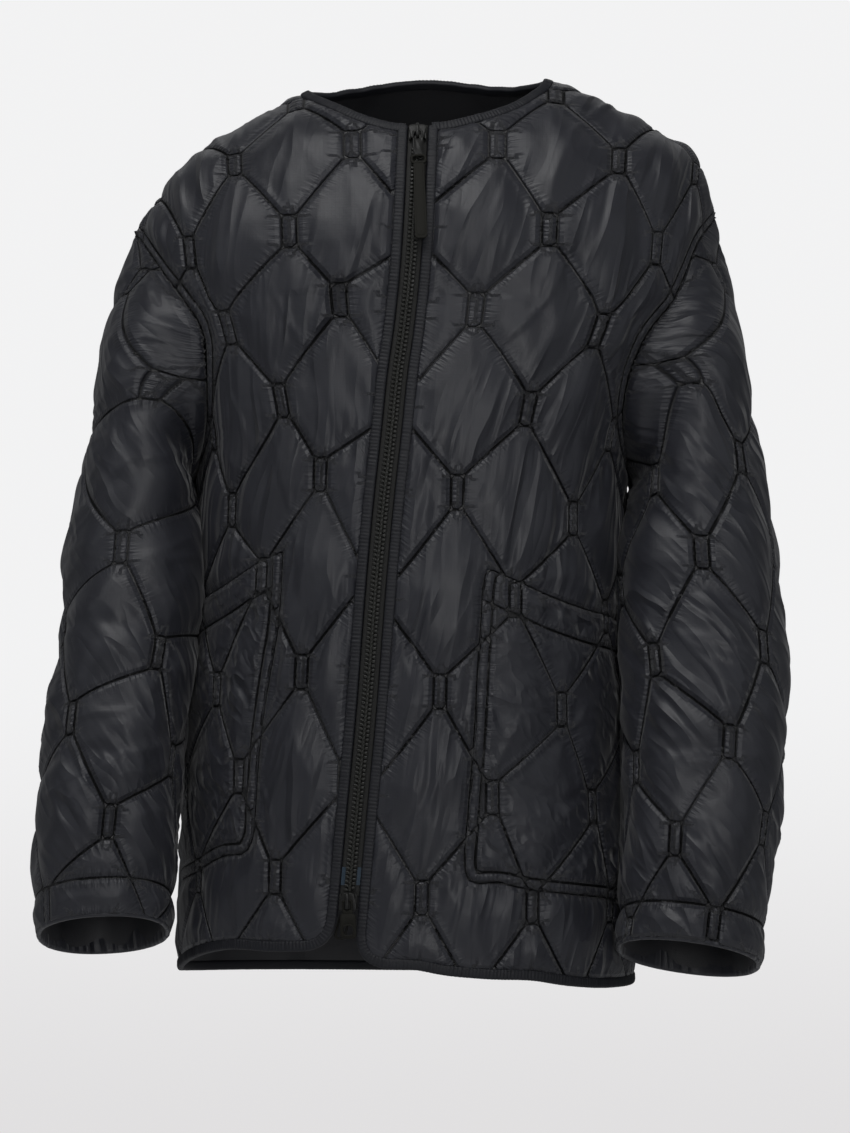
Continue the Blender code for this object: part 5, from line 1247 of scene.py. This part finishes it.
# ---- sliders and pulls
def roundedBlock(centre, half, power=0.35, taper=None, rows=13, cols=24):
    # superellipsoid: a box with soft edges; taper narrows it along y
    a = np.linspace(-math.pi / 2, math.pi / 2, rows)[:, None]
    b = np.linspace(0, 2 * math.pi, cols, endpoint=False)[None]
    s = lambda w, k: np.sign(w) * abs(w) ** k
    x = s(np.cos(a), power) * s(np.cos(b), power)
    y = s(np.cos(a), power) * s(np.sin(b), power)
    zz = np.broadcast_to(s(np.sin(a), power), x.shape)
    p = np.stack([x, y, zz], -1) * half
    if taper is not None:
        p[..., 0] *= np.interp(p[..., 1], *taper)
    return (p + centre).reshape(-1, 3), gridFaces(rows, cols)


def band(path3, section, closed=False):
    # a rounded section carried along a short path in the y, z plane or round a flat ring
    t = unit(np.roll(path3, -1, 0) - np.roll(path3, 1, 0)) if closed else unit(np.gradient(path3, axis=0))
    plane = unit(np.cross(t, np.roll(t, 1, 0)).sum(0)[None])[0]
    side = unit(np.cross(t, plane))
    v = path3[:, None] + side[:, None] * section[None, :, :1] + plane * section[None, :, 1:]
    return v.reshape(-1, 3), gridFaces(len(path3), len(section), True, closed)


def roundSection(wide, thick, n=10, power=0.7):
    a = np.linspace(0, 2 * math.pi, n, endpoint=False)
    s = lambda w: np.sign(w) * abs(w) ** power
    return np.column_stack([s(np.cos(a)) * wide / 2, s(np.sin(a)) * thick / 2])


def roundRect(w0, w1, h0, h1, r, n=48):
    # outline of a rectangle with round corners, at even angles about its middle
    cx, cy = (w0 + w1) / 2, (h0 + h1) / 2
    a = np.concatenate([np.linspace(k * 90, k * 90 + 90, 9) for k in range(4)])
    corner = np.repeat([(w1 - r, h1 - r), (w0 + r, h1 - r), (w0 + r, h0 + r), (w1 - r, h0 + r)], 9, axis=0)
    p = corner + r * np.column_stack([np.cos(np.radians(a)), np.sin(np.radians(a))])
    p = np.concatenate([p, p[:1]])
    d = lengthsAlong(p)
    s = np.linspace(0, d[-1], n, endpoint=False)
    return np.column_stack([np.interp(s, d, p[:, 0]), np.interp(s, d, p[:, 1])]), (cx, cy)


def holedPlate(outer, hole, low, high, edge=0.45):
    # a plate with one hole: round the hole, a section that goes over the plate, down its side and back underneath
    n = 64
    o, _ = roundRect(*outer, n=n)
    i, (cx, cy) = roundRect(*hole, n=n)
    # both outlines start at the point straight to the right of the hole's middle
    o, i = (np.roll(p, -np.argmin(np.arctan2(p[:, 1] - cy, p[:, 0] - cx) ** 2), axis=0) for p in (o, i))
    e = np.minimum(edge / np.linalg.norm(o - i, axis=1)[:, None], 0.3)
    w = np.concatenate([0 * e, e, 1 - e, 0 * e + 1, 0 * e + 1, 1 - e, e, 0 * e], 1)
    h = np.array([high - edge, high, high, high - edge, low + edge, low, low, low + edge])
    p = i[:, None] + (o - i)[:, None] * w[..., None]
    points = np.concatenate([p, np.broadcast_to(h[None, :, None], (n, 8, 1))], 2).reshape(-1, 3)
    return points, gridFaces(n, 8, True, True)


def softPlate(outline, low, high, edge=0.5):
    # a solid plate: rings of its outline that draw in over the rounded edge, closed by a flat face each side
    along = np.roll(outline, -1, 0) - np.roll(outline, 1, 0)
    toMiddle = unit(np.column_stack([-along[:, 1], along[:, 0]])) * areaSign(outline)
    turns = [(math.sin(a), math.cos(a)) for a in np.linspace(0, math.pi / 2, 4)]
    rings = [(outline + toMiddle * edge * (1 - s), low + edge * (1 - c)) for s, c in turns]
    rings += [(outline + toMiddle * edge * (1 - c), high - edge * (1 - s)) for s, c in turns]
    n = len(outline)
    points = np.concatenate([np.column_stack([ring, np.full(n, height)]) for ring, height in rings])
    caps = [list(range(n))[::-1], list(range((len(rings) - 1) * n, len(rings) * n))]
    return points, gridFaces(len(rings), n).tolist() + caps


def gather(shapes):
    # several shapes as one set of points and faces
    points, faces, start = [], [], 0
    for p, f in shapes:
        points.append(p)
        faces += [[int(i) + start for i in face] for face in f]
        start += len(p)
    return np.concatenate(points), faces


class Seat:
    # where a small part sits on the front: right, up along the zip, out; turned, spun and leaned as it hangs
    def __init__(self, v, turn=0.0):
        origin, right, up, out = (a[0] for a in placesOn(zipEdge(v, 0.0)))
        self.origin, self.out = origin, out
        self.up = up * math.cos(turn) + right * math.sin(turn)
        self.right = np.cross(self.up, self.out)

    def put(self, p):
        return self.origin + p[:, :1] * self.right + p[:, 1:2] * self.up + p[:, 2:] * self.out

    def hung(self, spin, lean):
        new = Seat.__new__(Seat)
        down = 1 if math.cos(spin) > 0 else -1
        up = self.up * math.cos(lean) + self.out * math.sin(lean) * down
        out = np.cross(self.right, up)
        new.origin = self.put(np.array([(0, *pullBar)]))[0]
        new.right = self.right * math.cos(spin) + up * math.sin(spin)
        new.up = up * math.cos(spin) - self.right * math.sin(spin)
        new.out = out
        return new


def fixNormals(obj):
    # every closed shell of the mesh turned to face outwards
    bm = bmesh.new()
    bm.from_mesh(obj.data)
    bmesh.ops.recalc_face_normals(bm, faces=bm.faces)
    bm.to_mesh(obj.data)
    bm.free()


def hardPart(name, seat, shapes, finish, body, node=None):
    points, faces = gather(shapes)
    obj = addMesh(name, seat.put(points), faces, finish)
    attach(obj, body)
    if node:
        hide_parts(node)
    fixNormals(obj)


def metalSlider(name, seat, node):
    # top plate that widens upwards, two side flanges, and the bail that the pull hangs on
    taper = ([-7.5, -2, 3, 7.5], [0.70, 0.80, 1.0, 1.04])
    flange = (0.75, 6.2, 2.0)
    bailAlong = np.array([-6.4, -6.4, -6.2, -5.0, 0.0, 3.6, 4.9, 5.2, 5.2])
    bailOut = np.array([4.2, 7.3, 8.6, 9.15, 9.3, 9.15, 8.6, 7.3, 4.2])
    bail = evenPath(np.column_stack([np.zeros(9), bailAlong, bailOut]), count=24)
    shapes = [roundedBlock((0, 0, 4.15), (7.2, 7.3, 0.95), 0.42, taper), roundedBlock((-6.2, -0.3, 2.1), flange, 0.4),
              roundedBlock((6.2, -0.3, 2.1), flange, 0.4), band(bail, roundSection(1.2, 2.6))]
    hardPart(name, seat, shapes, blackMetal, "jacket", node)


pullBar = (-1.0, 7.0)         # where a pull turns, along and above its slider
pullTurns = {"topSpin": 1.5, "topLean": 10.0, "bottomSpin": 184.0, "insideTurn": -14.0}     # degrees
# plates: outline and hole, each left, right, low, high and corner radius, then underside, top and edge radius
plates = {
    "topLink": ((-4.2, 4.2, -22.4, 0.7, 1.6), (-2.7, 2.7, -6.9, -0.75, 0.9), -0.7, 0.7),
    "topRing": ((-6.6, 6.6, -29.4, -20.6, 3.4), (-4.4, 4.4, -27.0, -22.8, 1.9), -1.0, 1.0, 0.6),
    "bottomLink": ((-4.0, 4.0, -11.0, 0.7, 1.4), (-2.7, 2.7, -6.9, -0.75, 0.9), -0.7, 0.7),
    "bottomRing": ((-6.3, 6.3, -29.5, -9.8, 3.0), (-3.6, 3.6, -26.5, -19.5, 2.6), -0.75, 0.75, 0.4),
    "bottomLip": ((-5.0, 5.0, -27.9, -18.1, 3.4), (-3.6, 3.6, -26.5, -19.5, 2.6), -1.1, 1.1, 0.5),
    "insideLoop": ((-4.6, 4.6, -31.0, -10.5, 3.4), (-2.9, 2.9, -29.2, -14.0, 2.2), -4.6, -3.2, 0.5),
}
tabSizes = {"outline": (-4.95, 4.95, -94.5, -28.0, 2.4), "low": -0.85, "high": 0.75,
            "heights": (-94.5, -70.0, -34.0, -28.0), "widths": (1.0, 1.0, 0.88, 0.92),
            "faceMiddle": -61.0, "faceShare": (0.68, 0.93), "faceLow": 0.3, "faceHigh": 1.0, "faceEdge": 0.22}

topSeat, bottomSeat = Seat(zipSizes["topSlider"]), Seat(zipSizes["bottomSlider"], math.pi)
metalSlider("topSlider", topSeat, "top_slider")
metalSlider("bottomSlider", bottomSeat, "bottom_slider")
hang = topSeat.hung(math.radians(pullTurns["topSpin"]), math.radians(pullTurns["topLean"]))
hardPart("topLink", hang, [holedPlate(*plates["topLink"])], blackMetal, "top_pull_tab")
# the rubber tab: a ring, a strip that narrows toward it, and a raised face left bare
tabLine, _ = roundRect(*tabSizes["outline"], n=72)
tabLine[:, 0] *= np.interp(tabLine[:, 1], tabSizes["heights"], tabSizes["widths"])
faceMiddle = (0, tabSizes["faceMiddle"])
tabFace = (tabLine - faceMiddle) * tabSizes["faceShare"] + faceMiddle
hardPart("topPullTab", hang, [holedPlate(*plates["topRing"]), softPlate(tabLine, tabSizes["low"], tabSizes["high"]),
                              softPlate(tabFace, tabSizes["faceLow"], tabSizes["faceHigh"], tabSizes["faceEdge"])],
         pullRubber, "top_pull_tab", "top_pull")
hang = bottomSeat.hung(math.radians(pullTurns["bottomSpin"]), 0.0)
hardPart("bottomPullTab", hang, [holedPlate(*plates[key]) for key in ("bottomLink", "bottomRing", "bottomLip")],
         pullRubber, "bottom_pull_tab", "bottom_pull")
c, s = math.cos(math.radians(pullTurns["insideTurn"])), math.sin(math.radians(pullTurns["insideTurn"]))
points, faces = holedPlate(*plates["insideLoop"])
points = points @ np.array([(c, s, 0), (-s, c, 0), (0, 0, 1)])
hardPart("bottomPullInside", Seat(zipSizes["bottomSlider"]), [(points, faces)], pullRubber, "jacket",
         "bottom_pull_inside")
print("zip and pulls done")

# ---- studio: pale floor far below, pale surround, soft light from above and in front, camera level with the hem
studio = {"surround": (0.89, 0.89, 0.895), "lowSurround": (0.752, 0.742, 0.748), "fillLight": 0.10, "key": 50.0,
          "front": 22.0, "side": 6.0, "rim": 7.0, "floorRadius": 3.6, "floorHeight": -1.5, "lens": 139.5,
          "cameraAway": 3.6, "cameraHeight": -0.394}
world = bpy.data.worlds.new("studioSurround")
bpy.context.scene.world = world
world.use_nodes = True
tree = world.node_tree
lit, seen = tree.nodes["Background"], tree.nodes.new("ShaderNodeBackground")
lit.inputs["Color"].default_value, lit.inputs["Strength"].default_value = (0.95, 0.97, 1.0, 1), studio["fillLight"]
# what is seen behind grows a little darker below the horizon
direction, split = tree.nodes.new("ShaderNodeTexCoord"), tree.nodes.new("ShaderNodeSeparateXYZ")
fall, shade = tree.nodes.new("ShaderNodeMapRange"), tree.nodes.new("ShaderNodeMix")
fall.interpolation_type, shade.data_type = "SMOOTHSTEP", "RGBA"
for key, value in (("From Min", -0.015), ("From Max", -0.135)):
    fall.inputs[key].default_value = value
shade.inputs[6].default_value, shade.inputs[7].default_value = (*studio["surround"], 1), (*studio["lowSurround"], 1)
tree.links.new(direction.outputs["Generated"], split.inputs[0])
tree.links.new(split.outputs["Z"], fall.inputs["Value"])
tree.links.new(fall.outputs["Result"], shade.inputs[0])
tree.links.new(shade.outputs[2], seen.inputs["Color"])
pick, rays = tree.nodes.new("ShaderNodeMixShader"), tree.nodes.new("ShaderNodeLightPath")
tree.links.new(rays.outputs["Is Camera Ray"], pick.inputs[0])
tree.links.new(lit.outputs[0], pick.inputs[1])
tree.links.new(seen.outputs[0], pick.inputs[2])
tree.links.new(pick.outputs[0], tree.nodes["World Output"].inputs[0])


def softLight(name, place, aim, size, power, colour=(1, 1, 1)):
    light = bpy.data.lights.new(name, "AREA")
    light.shape, light.size, light.size_y, light.energy, light.color = "RECTANGLE", size[0], size[1], power, colour
    obj = bpy.data.objects.new(name, light)
    bpy.context.scene.collection.objects.link(obj)
    obj.location = place
    d = np.array(place) - np.array(aim)
    obj.rotation_euler = (math.atan2(math.hypot(d[0], d[1]), d[2]), 0, math.atan2(d[1], d[0]) + math.pi / 2)
    return obj


softLight("keyAbove", (-0.5, -1.5, 2.3), (0, 0, -0.3), (2.4, 1.6), studio["key"])
softLight("frontSheet", (0.5, -3.3, 0.1), (0, 0, -0.4), (0.9, 1.3), studio["front"])
softLight("sideLeft", (-2.4, -1.6, 0.4), (0, 0, -0.4), (1.4, 2.2), studio["side"], (0.94, 0.97, 1.0))
softLight("sideRight", (2.5, -1.3, 0.5), (0, 0, -0.4), (1.4, 2.2), studio["side"], (0.94, 0.97, 1.0))
softLight("rimBehind", (0.0, 2.2, 1.6), (0, 0, -0.2), (2.5, 1.2), studio["rim"])
disc = bpy.data.meshes.new("floorDisc")
a = np.linspace(0, 2 * math.pi, 96, endpoint=False)
disc.from_pydata(np.column_stack([studio["floorRadius"] * np.cos(a), studio["floorRadius"] * np.sin(a),
                                  np.full(96, studio["floorHeight"])]), [], [list(range(96))])
floorFinish = Graph("paleFloor", **{"Base Color": (0.80, 0.80, 0.81), "Roughness": 0.75})
disc.materials.append(floorFinish.material)
floorObject = bpy.data.objects.new("floorDisc", disc)
bpy.context.scene.collection.objects.link(floorObject)

camera = bpy.data.objects.new("camera", bpy.data.cameras.new("camera"))
camera.data.lens, camera.data.sensor_width = studio["lens"], 36.0
camera.location, camera.rotation_euler = (0.0, -studio["cameraAway"], studio["cameraHeight"]), (math.pi / 2, 0, 0)
camera.data.clip_start, camera.data.clip_end = 0.1, 60
bpy.context.scene.collection.objects.link(camera)
bpy.context.scene.camera = camera
bpy.context.scene.view_settings.view_transform = "Standard"
